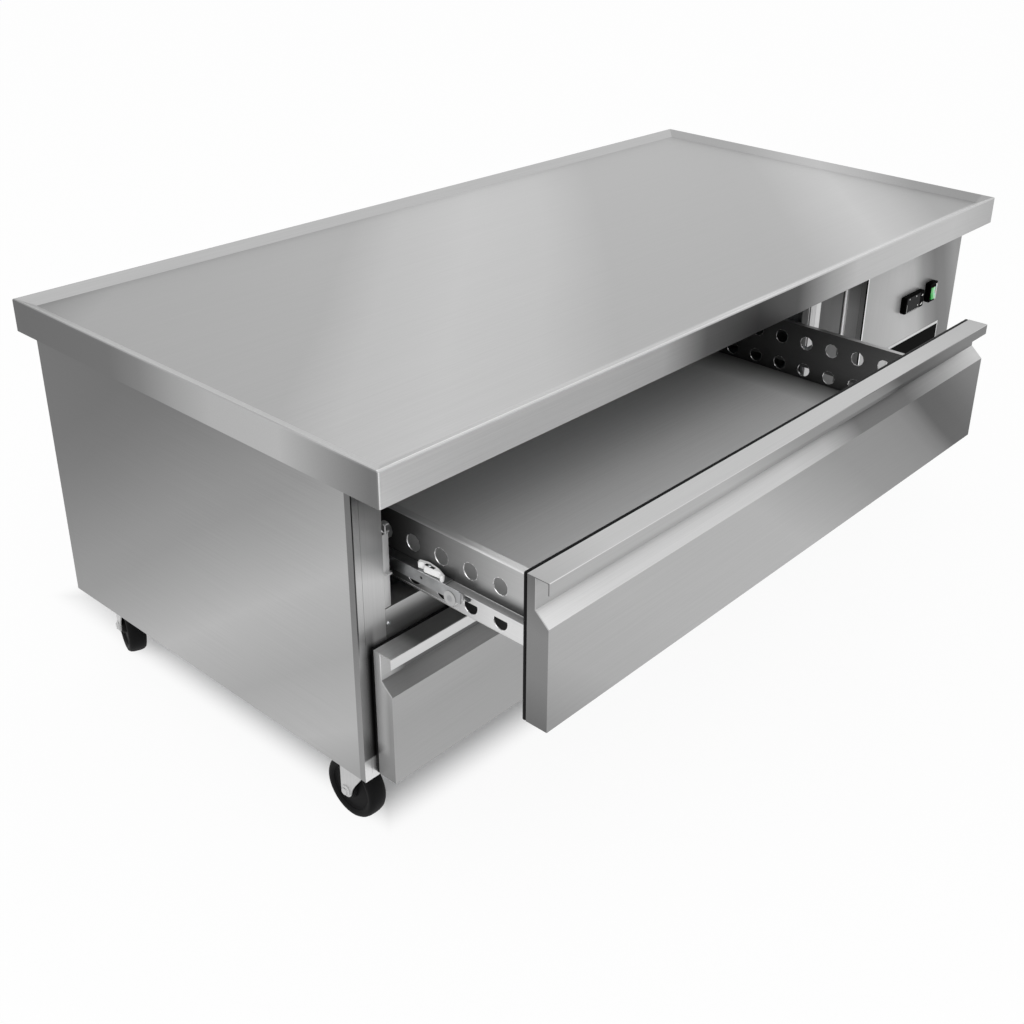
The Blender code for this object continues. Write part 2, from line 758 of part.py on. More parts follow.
switch_face = FRAME - GAP - SWITCH_PROUD
switch_frame = softened(inset_block(switch_low, switch_high, 0, switch_face, FRAME - GAP), SWITCH_ROUND)
switch_body = inset_block(
    switch_low, switch_high, BODY_INSET,
    FRAME - SWITCH_PROUD / 2, FRAME + SWITCH_BODY_DEPTH,
)
rocker_axis = (
    (switch_low[0] + switch_high[0]) / 2,
    switch_face - ROCKER_PROUD + ROCKER_DEPTH,
    (switch_low[1] + switch_high[1]) / 2,
)
switch_well = inset_block(
    switch_low, switch_high, SWITCH_RIM, switch_face - OVERRUN, FRAME + SWITCH_BODY_DEPTH - SWITCH_FLOOR,
)
part("switch_bezel", cut(joined(switch_frame, switch_body), switch_well), "black_plastic")

well_half = SWITCH_HEIGHT / 2 - SWITCH_RIM
rocker_half = (well_half - GAP - ROCKER_DEPTH * math.sin(ROCKER_TILT)) * math.cos(ROCKER_TILT)
rocker_crest = ROCKER_DEPTH + rocker_half * math.tan(ROCKER_TILT)
rocker_heel = ROCKER_DEPTH * ROCKER_HEEL_SHARE
heel_half = rocker_half * ROCKER_HEEL_WIDTH_SHARE
rocker_section = [
    (-rocker_crest, -rocker_half),
    (0, -rocker_half),
    (rocker_heel, -heel_half),
    (rocker_heel, heel_half),
    (0, rocker_half),
    (-rocker_crest, rocker_half),
    (-ROCKER_DEPTH, 0),
]
rocker = slab("X", switch_low[0] + SWITCH_RIM + GAP, switch_high[0] - SWITCH_RIM - GAP, rocker_section)
rocker.transform(Matrix.Rotation(-ROCKER_TILT, 4, "X"))
rocker.transform(Matrix.Translation((0, rocker_axis[1], rocker_axis[2])))
part("switch_rocker", rocker, "green_lens", rocker_axis)

# Slide brackets on the cavity walls, one pressed sheet a side with air windows between its ribs

bracket_front = LINER_FRONT + BRACKET_SETBACK
bracket_back = BOX_BACK - BRACKET_END_INSET
bracket_wall = OPEN_LEFT + GAP
bracket_face = bracket_wall + BRACKET_DEPTH
bracket_bottom = LOWER_OPENING + GAP
bracket_top = UPPER_OPENING + OPENING_HEIGHT - BRACKET_HEADROOM
slide_levels = {
    "upper": UPPER_OPENING + BOX_RISE + SLIDE_RISE,
    "lower": LOWER_OPENING + BOX_RISE + SLIDE_RISE,
}


def slide_bracket():
    path = [
        (bracket_wall, bracket_front),
        (bracket_face, bracket_front),
        (bracket_face, bracket_front + BRACKET_RIB),
        (bracket_wall + SHEET, bracket_front + BRACKET_RIB),
        (bracket_wall + SHEET, bracket_back - BRACKET_RIB),
        (bracket_face, bracket_back - BRACKET_RIB),
        (bracket_face, bracket_back),
        (bracket_wall, bracket_back),
    ]
    sheet = folded("Z", bracket_bottom, bracket_top, path, SHEET)
    room = bracket_back - bracket_front - 2 * BRACKET_RIB
    pitch = room / BRACKET_WINDOW_COUNT
    mullion_notch = block(
        (bracket_wall - OVERRUN, bracket_front - OVERRUN, mullion_bottom - GAP),
        (bracket_face + OVERRUN, FRAME + MULLION_DEPTH + GAP, mullion_top + GAP),
    )
    windows = [mullion_notch]
    for level in slide_levels.values():
        for i in range(BRACKET_WINDOW_COUNT):
            middle = bracket_front + BRACKET_RIB + pitch * (i + 0.5)
            base = level - MULLION_HEIGHT / 2 - BRACKET_WINDOW_HEIGHT
            if base > bracket_bottom:
                windows.append(block(
                    (bracket_wall - OVERRUN, middle - BRACKET_WINDOW_LENGTH / 2, base),
                    (bracket_face, middle + BRACKET_WINDOW_LENGTH / 2, base + BRACKET_WINDOW_HEIGHT),
                ))
    return cut(sheet, gathered(windows))


left_bracket = slide_bracket()
part("slide_bracket_right", mirrored(left_bracket), "satin_steel")
part("slide_bracket_left", left_bracket, "satin_steel")

# Telescopic slides: cabinet member, middle member with its roller, and the drawer's own rail

middle_start = LINER_FRONT + MIDDLE_SETBACK
middle_length = BOX_BACK - MIDDLE_END_INSET - middle_start
cabinet_web = bracket_face + GAP
cabinet_tip = cabinet_web + SLIDE_REACH
runner_start = cabinet_web + SHEET + RUNNER_SIDE_GAP
middle_web = runner_start + RUNNER_WIDTH
roller_start = middle_web + MIDDLE_GAUGE + ROLLER_SIDE_GAP
box_left = OPEN_LEFT + BOX_SIDE_CLEARANCE
rail_web = box_left - SHEET
runner_half = RUNNER_HEIGHT / 2
cabinet_half = runner_half + GAP + SHEET


def channel(level, half, back, tip, bottom):
    """A C channel's (z, x) outline: a web from back to bottom, and two flanges out to the tip."""
    return [
        (level - half, back),
        (level + half, back),
        (level + half, tip),
        (level + half - SHEET, tip),
        (level + half - SHEET, bottom),
        (level - half + SHEET, bottom),
        (level - half + SHEET, tip),
        (level - half, tip),
    ]


def cabinet_slide(level):
    outline = channel(level, cabinet_half, cabinet_web, cabinet_tip, cabinet_web + SHEET)
    return slab("Y", bracket_front, BOX_BACK + SLIDE_END_PROUD, outline)


def middle_slide(level, front):
    """Web and top flange, the runner that stays in the cabinet member, and the roller's lug and pin."""
    flange_low = level + MIDDLE_WEB_ABOVE - MIDDLE_GAUGE
    web = block(
        (middle_web, front, level - MIDDLE_WEB_BELOW),
        (middle_web + MIDDLE_GAUGE, front + middle_length, level + MIDDLE_WEB_ABOVE),
    )
    flange = block(
        (middle_web + MIDDLE_GAUGE / 2, front + MIDDLE_FLANGE_SETBACK, flange_low),
        (middle_web + MIDDLE_FLANGE, front + middle_length, level + MIDDLE_WEB_ABOVE),
    )
    runner = block(
        (runner_start, front + middle_length - RUNNER_LENGTH, level - runner_half),
        (middle_web + MIDDLE_GAUGE / 2, front + middle_length, level + runner_half),
    )
    axle = (front + ROLLER_SETBACK, level)
    lug = rod(axle, "X", MIDDLE_LUG_RADIUS, middle_web, middle_web + MIDDLE_GAUGE, HOLE_SIDES)
    rivet_end = middle_web + MIDDLE_GAUGE / 2
    rivet = rod(axle, "X", ROLLER_RIVET_RADIUS, middle_web - ROLLER_RIVET_HEIGHT, rivet_end, HOLE_SIDES)
    pin_end = roller_start + ROLLER_WIDTH + ROLLER_PIN_PROUD
    pin = rod(axle, "X", ROLLER_PIN_RADIUS, rivet_end, pin_end, HOLE_SIDES)
    hole_level = level + MIDDLE_WEB_ABOVE - MIDDLE_HOLE_DROP
    hole_end = middle_web + MIDDLE_GAUGE + OVERRUN
    holes = [
        rod((y, hole_level), "X", MIDDLE_HOLE_RADIUS, middle_web - OVERRUN, hole_end, HOLE_SIDES)
        for y in (front + ROLLER_SETBACK, front + ROLLER_SETBACK + HOLE_PITCH)
    ]
    solid = joined(web, flange, runner, lug, rivet, pin)
    return cut(solid, gathered(holes))


def slide_roller(level, front):
    bore = ROLLER_PIN_RADIUS + GAP
    wheel = turned([
        (bore, ROLLER_WIDTH),
        (ROLLER_RADIUS - ROLLER_ROUND, ROLLER_WIDTH),
        (ROLLER_RADIUS, ROLLER_WIDTH - ROLLER_ROUND),
        (ROLLER_RADIUS, ROLLER_ROUND),
        (ROLLER_RADIUS - ROLLER_ROUND, 0),
        (bore, 0),
    ], SMALL_SIDES)
    wheel.transform(Matrix.Translation((roller_start, front + ROLLER_SETBACK, level)) @ turn_to("X"))
    return wheel


def both_sides(pattern, mesh, finish, origin=None):
    """The left-hand piece and its mirrored right-hand copy."""
    left_origin = origin or (0, 0, 0)
    right_origin = (2 * OPEN_MIDDLE - origin[0], origin[1], origin[2]) if origin else (0, 0, 0)
    part(pattern.format("right"), mirrored(mesh), finish, right_origin)
    part(pattern.format("left"), mesh, finish, left_origin)


# Drawers: front, gasket, perforated sides with rails, back and floor

front_left = OPEN_LEFT - FRONT_OVERLAP_SIDE
front_right = OPEN_RIGHT + FRONT_OVERLAP_SIDE
box_right = OPEN_RIGHT - BOX_SIDE_CLEARANCE


def drawer_front(top, bottom, face):
    """The panel's (y, z) section: hanging lip, grip channel, slope and flat face."""
    back = face + FRONT_DEPTH
    outline = [
        (face, top),
        (face, top - GRIP_LIP_DROP),
        (face + GRIP_LIP_GAUGE, top - GRIP_LIP_DROP),
        (face + GRIP_LIP_GAUGE, top - GRIP_TOP_GAUGE),
        (face + GRIP_BACK_INSET, top - GRIP_TOP_GAUGE),
        (face + GRIP_BACK_INSET, top - GRIP_BACK_DROP),
        (face, top - GRIP_SLOPE_DROP),
        (face, bottom),
        (back, bottom),
        (back, top),
    ]
    return softened(slab("X", front_left, front_right, outline), FRONT_ROUND, 1)


def ring(inset, width, top, bottom, start, end):
    outer = rectangle((bottom + inset, front_left + inset), (top - inset, front_right - inset))
    inner_inset = inset + width
    inner = rectangle(
        (bottom + inner_inset, front_left + inner_inset),
        (top - inner_inset, front_right - inner_inset),
    )
    return slab("Y", start, end, outer, [inner])


def drawer_gasket(top, bottom, start):
    base = ring(GASKET_INSET, GASKET_BASE_WIDTH, top, bottom, start, start + GASKET_BASE)
    bulb_end = start + GASKET_BASE + GASKET_BULB
    bulb = ring(GASKET_BULB_INSET, GASKET_BULB_WIDTH, top, bottom, start + GASKET_BASE / 2, bulb_end)
    return joined(base, bulb)


def drawer_side(bottom, front, level):
    """Left side: a folded sheet with two rows of round holes, and the angle that rides on the slide's roller."""
    top = bottom + BOX_HEIGHT
    path = [
        (bottom, box_left + BOX_FLANGE),
        (bottom, box_left),
        (top, box_left),
        (top, box_left + BOX_FLANGE),
    ]
    sheet = folded("Y", front, front + BOX_LENGTH, path, SHEET, BOX_BEND)
    count = int((BOX_LENGTH - HOLE_START - HOLE_END_MARGIN) / HOLE_PITCH) + 1
    hole_start = box_left - OVERRUN
    hole_end = box_left + SHEET + OVERRUN
    holes = []
    for drop in (HOLE_UPPER_DROP, HOLE_LOWER_DROP):
        for i in range(count):
            centre = (front + HOLE_START + i * HOLE_PITCH, top - drop)
            holes.append(rod(centre, "X", HOLE_RADIUS, hole_start, hole_end, HOLE_SIDES))
    rail_top = level + ROLLER_RADIUS + GAP + SHEET
    rail_tip = rail_web - RAIL_REACH
    outline = [
        (level - RAIL_WEB_BELOW, box_left + SHEET / 2),
        (rail_top, box_left + SHEET / 2),
        (rail_top, rail_tip),
        (rail_top - SHEET, rail_tip),
        (rail_top - SHEET, rail_web),
        (level - RAIL_WEB_BELOW, rail_web),
    ]
    rail = slab("Y", front, front + BOX_LENGTH, outline)
    return joined(cut(sheet, gathered(holes)), rail)


def drawer(name, opening, opened):
    """One drawer and its two slides, drawn out by the opening given."""
    level = slide_levels[name]
    bottom = opening - FRONT_OVERLAP_TOP
    top = opening + OPENING_HEIGHT + FRONT_OVERLAP_TOP
    face = FACE - opened
    box_front = BOX_FRONT - opened
    box_bottom = opening + BOX_RISE
    seat = (0, face, opening)
    part(f"{name}_drawer_front", drawer_front(top, bottom, face), "satin_steel", seat)
    part(f"{name}_drawer_gasket", drawer_gasket(top, bottom, box_front), "rubber", seat)
    both_sides(name + "_drawer_side_{}", drawer_side(box_bottom, box_front, level), "satin_steel")
    back_start = box_front + BOX_LENGTH + GAP
    back = block((box_left, back_start, box_bottom), (box_right, back_start + SHEET, box_bottom + BOX_HEIGHT))
    part(f"{name}_drawer_back", back, "satin_steel", seat)
    floor_bottom = box_bottom + SHEET + GAP
    floor = block(
        (box_left + BOX_BEND + GAP, box_front, floor_bottom),
        (box_right - BOX_BEND - GAP, box_front + BOX_LENGTH, floor_bottom + SHEET),
    )
    part(f"{name}_drawer_floor", floor, "satin_steel", seat)
    middle_front = middle_start - opened / 2
    both_sides(name + "_{}_cabinet_slide", cabinet_slide(level), "zinc")
    both_sides(name + "_{}_middle_slide", middle_slide(level, middle_front), "zinc")
    hub = (roller_start + ROLLER_WIDTH / 2, middle_front + ROLLER_SETBACK, level)
    both_sides(name + "_{}_slide_roller", slide_roller(level, middle_front), "nylon", hub)


drawer("upper", UPPER_OPENING, UPPER_REST_OPENING)
drawer("lower", LOWER_OPENING, LOWER_REST_OPENING)

# Release lever on the upper left slide

lever_shape_shares = [
    (0.00, 0.42), (0.32, 0.40), (0.50, 0.17), (0.34, -0.20), (-0.02, -0.50), (-0.42, -0.58),
    (-0.50, -0.50), (-0.22, -0.38), (-0.30, -0.14), (-0.36, 0.08), (-0.10, 0.20), (-0.20, 0.33),
]
lever_pivot = (
    middle_web + MIDDLE_GAUGE + LEVER_PIVOT_INSET,
    LINER_FRONT + MIDDLE_SETBACK - UPPER_REST_OPENING / 2 + LEVER_PIVOT_SETBACK,
    slide_levels["upper"] + MIDDLE_WEB_ABOVE + GAP,
)
lever_outline = [
    (lever_pivot[0] + across * LEVER_WIDTH, lever_pivot[1] + along * LEVER_LENGTH)
    for across, along in lever_shape_shares
]
lever = slab("Z", lever_pivot[2], lever_pivot[2] + LEVER_THICKNESS, lever_outline)
part("upper_left_slide_lever", softened(lever, LEVER_ROUND, 1), "nylon", lever_pivot)

# Casters

plate_top = BODY_BOTTOM - GAP
race_top = plate_top - CASTER_PLATE_GAUGE
head_top = race_top - CASTER_RACE_HEIGHT - GAP
head_bottom = head_top - CASTER_HEAD_HEIGHT
leg_inner = WHEEL_HUB_WIDTH / 2 + WHEEL_SIDE_GAP
leg_outer = leg_inner + FORK_LEG_GAUGE


def caster_plate():
    half_width = CASTER_PLATE_WIDTH / 2
    half_length = CASTER_PLATE_LENGTH / 2
    plate = block((-half_width, -half_length, race_top), (half_width, half_length, plate_top))
    race_bottom = race_top - CASTER_RACE_HEIGHT
    race = rod((0, 0), "Z", CASTER_RACE_RADIUS, race_bottom, race_top + CASTER_PLATE_GAUGE / 2)
    bore_radius = (CASTER_KINGPIN_RADIUS + GAP) / math.cos(math.pi / HOLE_SIDES)
    bore = rod((0, 0), "Z", bore_radius, head_top - OVERRUN, plate_top + OVERRUN, HOLE_SIDES)
    return cut(joined(plate, race), bore)


def fork_leg(start):
    """One leg: wide under the head, tapering to the eye of the axle."""
    half = FORK_LEG_WIDTH / 2
    outline = [(-half, head_top - GAP), (half, head_top - GAP), (half, head_bottom)]
    for i in range(HOLE_SIDES // 2 + 1):
        angle = -math.pi * i / (HOLE_SIDES // 2)
        eye_y = CASTER_TRAIL + FORK_EYE_RADIUS * math.cos(angle)
        outline.append((eye_y, AXLE_LEVEL + FORK_EYE_RADIUS * math.sin(angle)))
    outline.append((-half, head_bottom - FORK_EYE_RADIUS))
    return slab("X", start, start + FORK_LEG_GAUGE, outline)


def caster_fork():
    head = rod((0, 0), "Z", CASTER_RACE_RADIUS, head_bottom, head_top)
    kingpin = rod((0, 0), "Z", CASTER_KINGPIN_RADIUS, head_top - GAP, plate_top - GAP, HOLE_SIDES)
    legs = [fork_leg(leg_inner), fork_leg(-leg_outer)]
    eye = (CASTER_TRAIL, AXLE_LEVEL)
    nut_start = leg_outer - FORK_LEG_GAUGE / 2
    nut_end = leg_outer + AXLE_NUT_HEIGHT
    axle_end = nut_end + AXLE_END_PROUD
    axle = rod(eye, "X", AXLE_RADIUS, -axle_end, axle_end, HOLE_SIDES)
    nuts = [
        rod(eye, "X", AXLE_NUT_RADIUS, nut_start, nut_end, NUT_SIDES),
        rod(eye, "X", AXLE_NUT_RADIUS, -nut_end, -nut_start, NUT_SIDES),
    ]
    return joined(head, kingpin, *legs, axle, *nuts)


def caster_wheel():
    half = WHEEL_WIDTH / 2
    hub_half = WHEEL_HUB_WIDTH / 2
    web_half = half * WHEEL_WEB_SHARE
    tread_half = half * WHEEL_TREAD_SHARE
    rim = WHEEL_RADIUS * WHEEL_RIM_SHARE
    bore = AXLE_RADIUS + GAP
    upper = [
        (bore, hub_half),
        (WHEEL_HUB_RADIUS, hub_half),
        (WHEEL_HUB_RADIUS, web_half),
        (rim, web_half),
        (rim, half),
        (WHEEL_RADIUS - (half - tread_half), half),
        (WHEEL_RADIUS, tread_half),
    ]
    wheel = turned(upper + [(r, -z) for r, z in reversed(upper)], ROUND_SIDES)
    across = turn_to("X") @ Matrix.Rotation(math.pi / ROUND_SIDES - math.pi / 2, 4, "Z")
    wheel.transform(Matrix.Translation((0, CASTER_TRAIL, AXLE_LEVEL)) @ across)
    return wheel


caster_front = FRONT + CASTER_FRONT_INSET
caster_back = FRONT + TOP_DEPTH - CASTER_BACK_INSET
casters = {
    "front_left": (LEFT + CASTER_INSET_X, caster_front, FRONT_LEFT_YAW),
    "front_right": (RIGHT - CASTER_INSET_X, caster_front, FRONT_RIGHT_YAW),
    "back_left": (LEFT + CASTER_INSET_X, caster_back, BACK_LEFT_YAW),
    "back_right": (RIGHT - CASTER_INSET_X, caster_back, BACK_RIGHT_YAW),
}
for place, (x, y, yaw) in casters.items():
    pivot = Vector((x, y, 0))
    hub = pivot + Matrix.Rotation(yaw, 3, "Z") @ Vector((0, CASTER_TRAIL, AXLE_LEVEL))
    part(f"{place}_caster_plate", moved(caster_plate(), pivot), "zinc", pivot)
    part(f"{place}_caster_fork", moved(caster_fork(), pivot, yaw), "zinc", pivot)
    part(f"{place}_caster_wheel", moved(caster_wheel(), pivot, yaw), "rubber", hub)


# Refrigeration unit

def fan(radius):
    """A hub and its pitched blades round the Z axis, with a bore for the motor's shaft."""
    half = FAN_DEPTH / 2
    hub = rod((0, 0), "Z", FAN_HUB_RADIUS, -half, half)
    blade_length = radius - FAN_HUB_RADIUS / 2
    blade_half = FAN_DEPTH * FAN_BLADE_REACH_SHARE / math.sin(FAN_PITCH)
    blades = []
    for i in range(FAN_BLADES):
        blade = block(
            (radius - blade_length, -blade_half, -FAN_BLADE_GAUGE / 2),
            (radius, blade_half, FAN_BLADE_GAUGE / 2),
        )
        pitched = Matrix.Rotation(FAN_PITCH, 4, "X")
        blade.transform(Matrix.Rotation(math.tau * i / FAN_BLADES, 4, "Z") @ pitched)
        blades.append(blade)
    tips = rod((0, 0), "Z", radius, -half, half, ROUND_SIDES)
    swept = joined(hub, *blades)
    bore = rod((0, 0), "Z", FAN_SHAFT_RADIUS + GAP, -half - OVERRUN, half + OVERRUN, HOLE_SIDES)
    return cut(combined("INTERSECT", swept, [tips]), bore)


compressor_x = (LINER_RIGHT + BODY_RIGHT) / 2
compressor_y = BODY_BACK - COMPRESSOR_BACK_INSET
shoulder = COMPRESSOR_RADIUS * CAN_SHOULDER_SHARE
crown = COMPRESSOR_RADIUS * CAN_CROWN_SHARE
can = turned([
    (0, COMPRESSOR_HEIGHT),
    (COMPRESSOR_RADIUS - shoulder, COMPRESSOR_HEIGHT - crown),
    (COMPRESSOR_RADIUS - crown, COMPRESSOR_HEIGHT - shoulder),
    (COMPRESSOR_RADIUS, COMPRESSOR_HEIGHT - COMPRESSOR_RADIUS * CAN_WAIST_SHARE),
    (COMPRESSOR_RADIUS, COMPRESSOR_FOOT + shoulder),
    (COMPRESSOR_RADIUS - shoulder, COMPRESSOR_FOOT),
    (0, COMPRESSOR_FOOT),
])
foot_plate = block(
    (-COMPRESSOR_RADIUS, -COMPRESSOR_RADIUS, COMPRESSOR_FOOT),
    (COMPRESSOR_RADIUS, COMPRESSOR_RADIUS, COMPRESSOR_FOOT + COMPRESSOR_FOOT_PLATE),
)
feet = [
    rod(
        (sx * (COMPRESSOR_RADIUS - shoulder), sy * (COMPRESSOR_RADIUS - shoulder)), "Z",
        COMPRESSOR_FOOT, 0, COMPRESSOR_FOOT + COMPRESSOR_FOOT_PLATE / 2, HOLE_SIDES,
    )
    for sx in (-1, 1)
    for sy in (-1, 1)
]
compressor = joined(can, foot_plate, *feet)
part("compressor", moved(compressor, (compressor_x, compressor_y, BODY_BASE)), "black_enamel")

condenser_front = FRAME + CONDENSER_SETBACK
condenser_left = compressor_x - CONDENSER_WIDTH / 2
condenser_top = thermostat_low[1] - CONDENSER_HEADROOM
condenser_middle = (BODY_BASE + condenser_top) / 2
shroud_back = condenser_front + CONDENSER_DEPTH + SHROUD_DEPTH


def condenser():
    """A finned block, with the fan's shroud and motor bar on its back."""
    pitch = CONDENSER_WIDTH / CONDENSER_FIN_COUNT
    groove_half = pitch * CONDENSER_GROOVE_SHARE / 2
    fins_end = condenser_front + CONDENSER_FIN_DEPTH
    core = block(
        (condenser_left, condenser_front, BODY_BASE),
        (condenser_left + CONDENSER_WIDTH, condenser_front + CONDENSER_DEPTH, condenser_top),
    )
    middles = [condenser_left + (i + 0.5) * pitch for i in range(CONDENSER_FIN_COUNT)]
    grooves = [
        block(
            (middle - groove_half, condenser_front - OVERRUN, BODY_BASE - OVERRUN),
            (middle + groove_half, fins_end, condenser_top + OVERRUN),
        )
        for middle in middles
    ]
    core = cut(core, gathered(grooves))
    start = condenser_front + CONDENSER_DEPTH - OVERRUN
    walls = slab(
        "Y", start, shroud_back,
        rectangle(
            (BODY_BASE + SHROUD_INSET, condenser_left + SHROUD_INSET),
            (condenser_top - SHROUD_INSET, condenser_left + CONDENSER_WIDTH - SHROUD_INSET),
        ),
        [round_window((condenser_middle, compressor_x), FAN_RADIUS + FAN_TIP_GAP, ROUND_SIDES)],
    )
    half_bar = FAN_BAR_HEIGHT / 2
    bar = block(
        (condenser_left + 2 * SHROUD_INSET, shroud_back - OVERRUN, condenser_middle - half_bar),
        (
            condenser_left + CONDENSER_WIDTH - 2 * SHROUD_INSET,
            shroud_back + FAN_BAR_GAUGE,
            condenser_middle + half_bar,
        ),
    )
    shaft_front = shroud_back - OVERRUN - FAN_DEPTH - 2 * FAN_TIP_GAP
    shaft = rod((condenser_middle, compressor_x), "Y", FAN_SHAFT_RADIUS, shaft_front, shroud_back, HOLE_SIDES)
    return joined(core, walls, bar, shaft)


part("condenser", condenser(), "black_enamel")
condenser_hub = (compressor_x, shroud_back - OVERRUN - FAN_TIP_GAP - FAN_DEPTH / 2, condenser_middle)
condenser_fan = fan(FAN_RADIUS)
condenser_fan.transform(Matrix.Translation(condenser_hub) @ turn_to("Y"))
part("condenser_fan", condenser_fan, "grey_plastic", condenser_hub)

evaporator_face = OPEN_RIGHT + EVAPORATOR_FACE_INSET
evaporator_back = OPEN_RIGHT + POCKET_DEPTH - GAP
evaporator_front = pocket_front + GAP
evaporator_end = pocket_front + POCKET_LENGTH - GAP
evaporator_bottom = LOWER_OPENING + POCKET_MARGIN + GAP
evaporator_top = UPPER_OPENING + OPENING_HEIGHT - POCKET_MARGIN - GAP
evaporator_hub = (
    evaporator_face + FAN_TIP_GAP + FAN_DEPTH / 2,
    (evaporator_front + evaporator_end) / 2,
    (evaporator_bottom + evaporator_top) / 2,
)


def evaporator_cover():
    """A pan over the coil pocket, with the fan's round mouth and the bar that holds its motor."""
    path = [
        (evaporator_back, evaporator_front),
        (evaporator_face, evaporator_front),
        (evaporator_face, evaporator_end),
        (evaporator_back, evaporator_end),
    ]
    pan = folded("Z", evaporator_bottom, evaporator_top, list(reversed(path)), SHEET)
    mouth = rod(
        evaporator_hub[1:], "X", EVAPORATOR_FAN_RADIUS + FAN_TIP_GAP,
        evaporator_face - OVERRUN, evaporator_face + SHEET + OVERRUN, ROUND_SIDES,
    )
    bar_start = evaporator_hub[0] + FAN_DEPTH / 2 + FAN_TIP_GAP
    half_bar = FAN_BAR_HEIGHT / 2
    bar = block(
        (bar_start, evaporator_front + SHEET / 2, evaporator_hub[2] - half_bar),
        (bar_start + FAN_BAR_GAUGE, evaporator_end - SHEET / 2, evaporator_hub[2] + half_bar),
    )
    shaft = rod(
        evaporator_hub[1:], "X", FAN_SHAFT_RADIUS,
        evaporator_hub[0] - FAN_DEPTH / 2, bar_start + FAN_BAR_GAUGE / 2, HOLE_SIDES,
    )
    return joined(cut(pan, mouth), bar, shaft)


part("evaporator_cover", evaporator_cover(), "liner")
evaporator_fan = fan(EVAPORATOR_FAN_RADIUS)
evaporator_fan.transform(Matrix.Translation(evaporator_hub) @ turn_to("X"))
part("evaporator_fan", evaporator_fan, "grey_plastic", evaporator_hub)
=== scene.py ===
"""The look of a refrigerated chef base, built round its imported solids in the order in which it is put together.

Metres, +Z up, the floor at z = 0, the drawers opening towards -Y.
"""

import math

import bmesh
import bpy
from mathutils import Matrix, Vector


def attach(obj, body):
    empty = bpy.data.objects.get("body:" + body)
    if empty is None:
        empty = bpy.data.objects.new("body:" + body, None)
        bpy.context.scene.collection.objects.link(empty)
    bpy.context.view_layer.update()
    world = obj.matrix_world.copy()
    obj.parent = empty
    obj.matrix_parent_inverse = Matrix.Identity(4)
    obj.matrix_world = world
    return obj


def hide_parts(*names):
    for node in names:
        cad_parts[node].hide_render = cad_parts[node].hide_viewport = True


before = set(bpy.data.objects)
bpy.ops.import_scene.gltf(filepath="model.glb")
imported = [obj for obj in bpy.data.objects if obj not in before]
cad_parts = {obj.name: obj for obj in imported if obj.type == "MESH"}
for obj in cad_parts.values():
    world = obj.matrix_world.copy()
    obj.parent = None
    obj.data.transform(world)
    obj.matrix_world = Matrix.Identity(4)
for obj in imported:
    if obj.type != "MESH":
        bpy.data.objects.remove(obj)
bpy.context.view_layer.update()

# Base plate, back panel and underside fittings.
# Hot-dip galvanised sheet, sheared and riveted to the skins: a dull grey with faint spangle,
# never polished because it faces the floor and the wall.

def linear(colour):
    """An sRGB hex colour, or a grey as its one hex level, as the linear RGBA that the shaders take."""
    levels = [colour] * 3 if isinstance(colour, int) else [int(colour[i:i + 2], 16) for i in (1, 3, 5)]
    parts = [level / 255 for level in levels]
    return (*[v / 12.92 if v <= 0.04045 else ((v + 0.055) / 1.055) ** 2.4 for v in parts], 1)


def add(tree, kind, settings=None, links=None):
    """Adds a node, sets its properties and sockets, and links its inputs."""
    made = tree.nodes.new(kind)
    for key, value in (settings or {}).items():
        if isinstance(key, str) and hasattr(made, key):
            setattr(made, key, value)
        else:
            made.inputs[key].default_value = value
    for key, output in (links or {}).items():
        tree.links.new(output, made.inputs[key])
    return made


def finish_named(name, metallic, roughness, settings=None):
    """A new material with its shader's plain sockets set: gives the material, its tree and its shader."""
    material = bpy.data.materials.new(name)
    material.use_nodes = True
    tree = material.node_tree
    shader = tree.nodes["Principled BSDF"]
    for key, value in {"Metallic": metallic, "Roughness": roughness, **(settings or {})}.items():
        shader.inputs[key].default_value = value
    return material, tree, shader


def blended(tree, factor, low, high):
    """A colour that runs from low to high with a factor."""
    ramp = add(tree, "ShaderNodeValToRGB", links={"Fac": factor})
    ramp.color_ramp.elements[0].color = linear(low)
    ramp.color_ramp.elements[1].color = linear(high)
    return ramp.outputs["Color"]


SPANGLES_PER_METRE = 90
STAINS_PER_METRE = 6


def galvanised(name, low, high):
    """Zinc crystals 8 to 15 mm across, with little contrast: the eye sees a cold, dull, patchy grey."""
    material, tree, shader = finish_named(name, 0.9, 0.48)
    place = add(tree, "ShaderNodeTexCoord").outputs["Object"]
    crystals = add(
        tree, "ShaderNodeTexVoronoi", {"Scale": SPANGLES_PER_METRE, "Randomness": 1.0}, {"Vector": place},
    )
    tint = add(tree, "ShaderNodeSeparateColor", links={"Color": crystals.outputs["Color"]})
    cloud = add(tree, "ShaderNodeTexNoise", {"Scale": STAINS_PER_METRE, "Detail": 3}, {"Vector": place})
    mixed = add(
        tree, "ShaderNodeMath", {"operation": "MULTIPLY"}, {0: tint.outputs["Red"], 1: cloud.outputs["Fac"]},
    )
    tree.links.new(blended(tree, mixed.outputs["Value"], low, high), shader.inputs["Base Color"])
    rough = add(tree, "ShaderNodeMapRange", {"To Min": 0.40, "To Max": 0.56}, {"Value": tint.outputs["Red"]})
    tree.links.new(rough.outputs["Result"], shader.inputs["Roughness"])
    return material


def dress(material, *names):
    """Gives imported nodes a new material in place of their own."""
    for name in names:
        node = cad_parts[name]
        node.data.materials.clear()
        node.data.materials.append(material)


galvanised_sheet = galvanised("galvanised steel sheet", "#8F9294", "#B4B7B8")
dress(galvanised_sheet, "base_plate", "back_panel")

# Back panel: louvres pressed over its vent slots, and pan-head screws round its edge.
# Each hood is drawn from the sheet itself; the screws are zinc-plated steel with a cross recess.

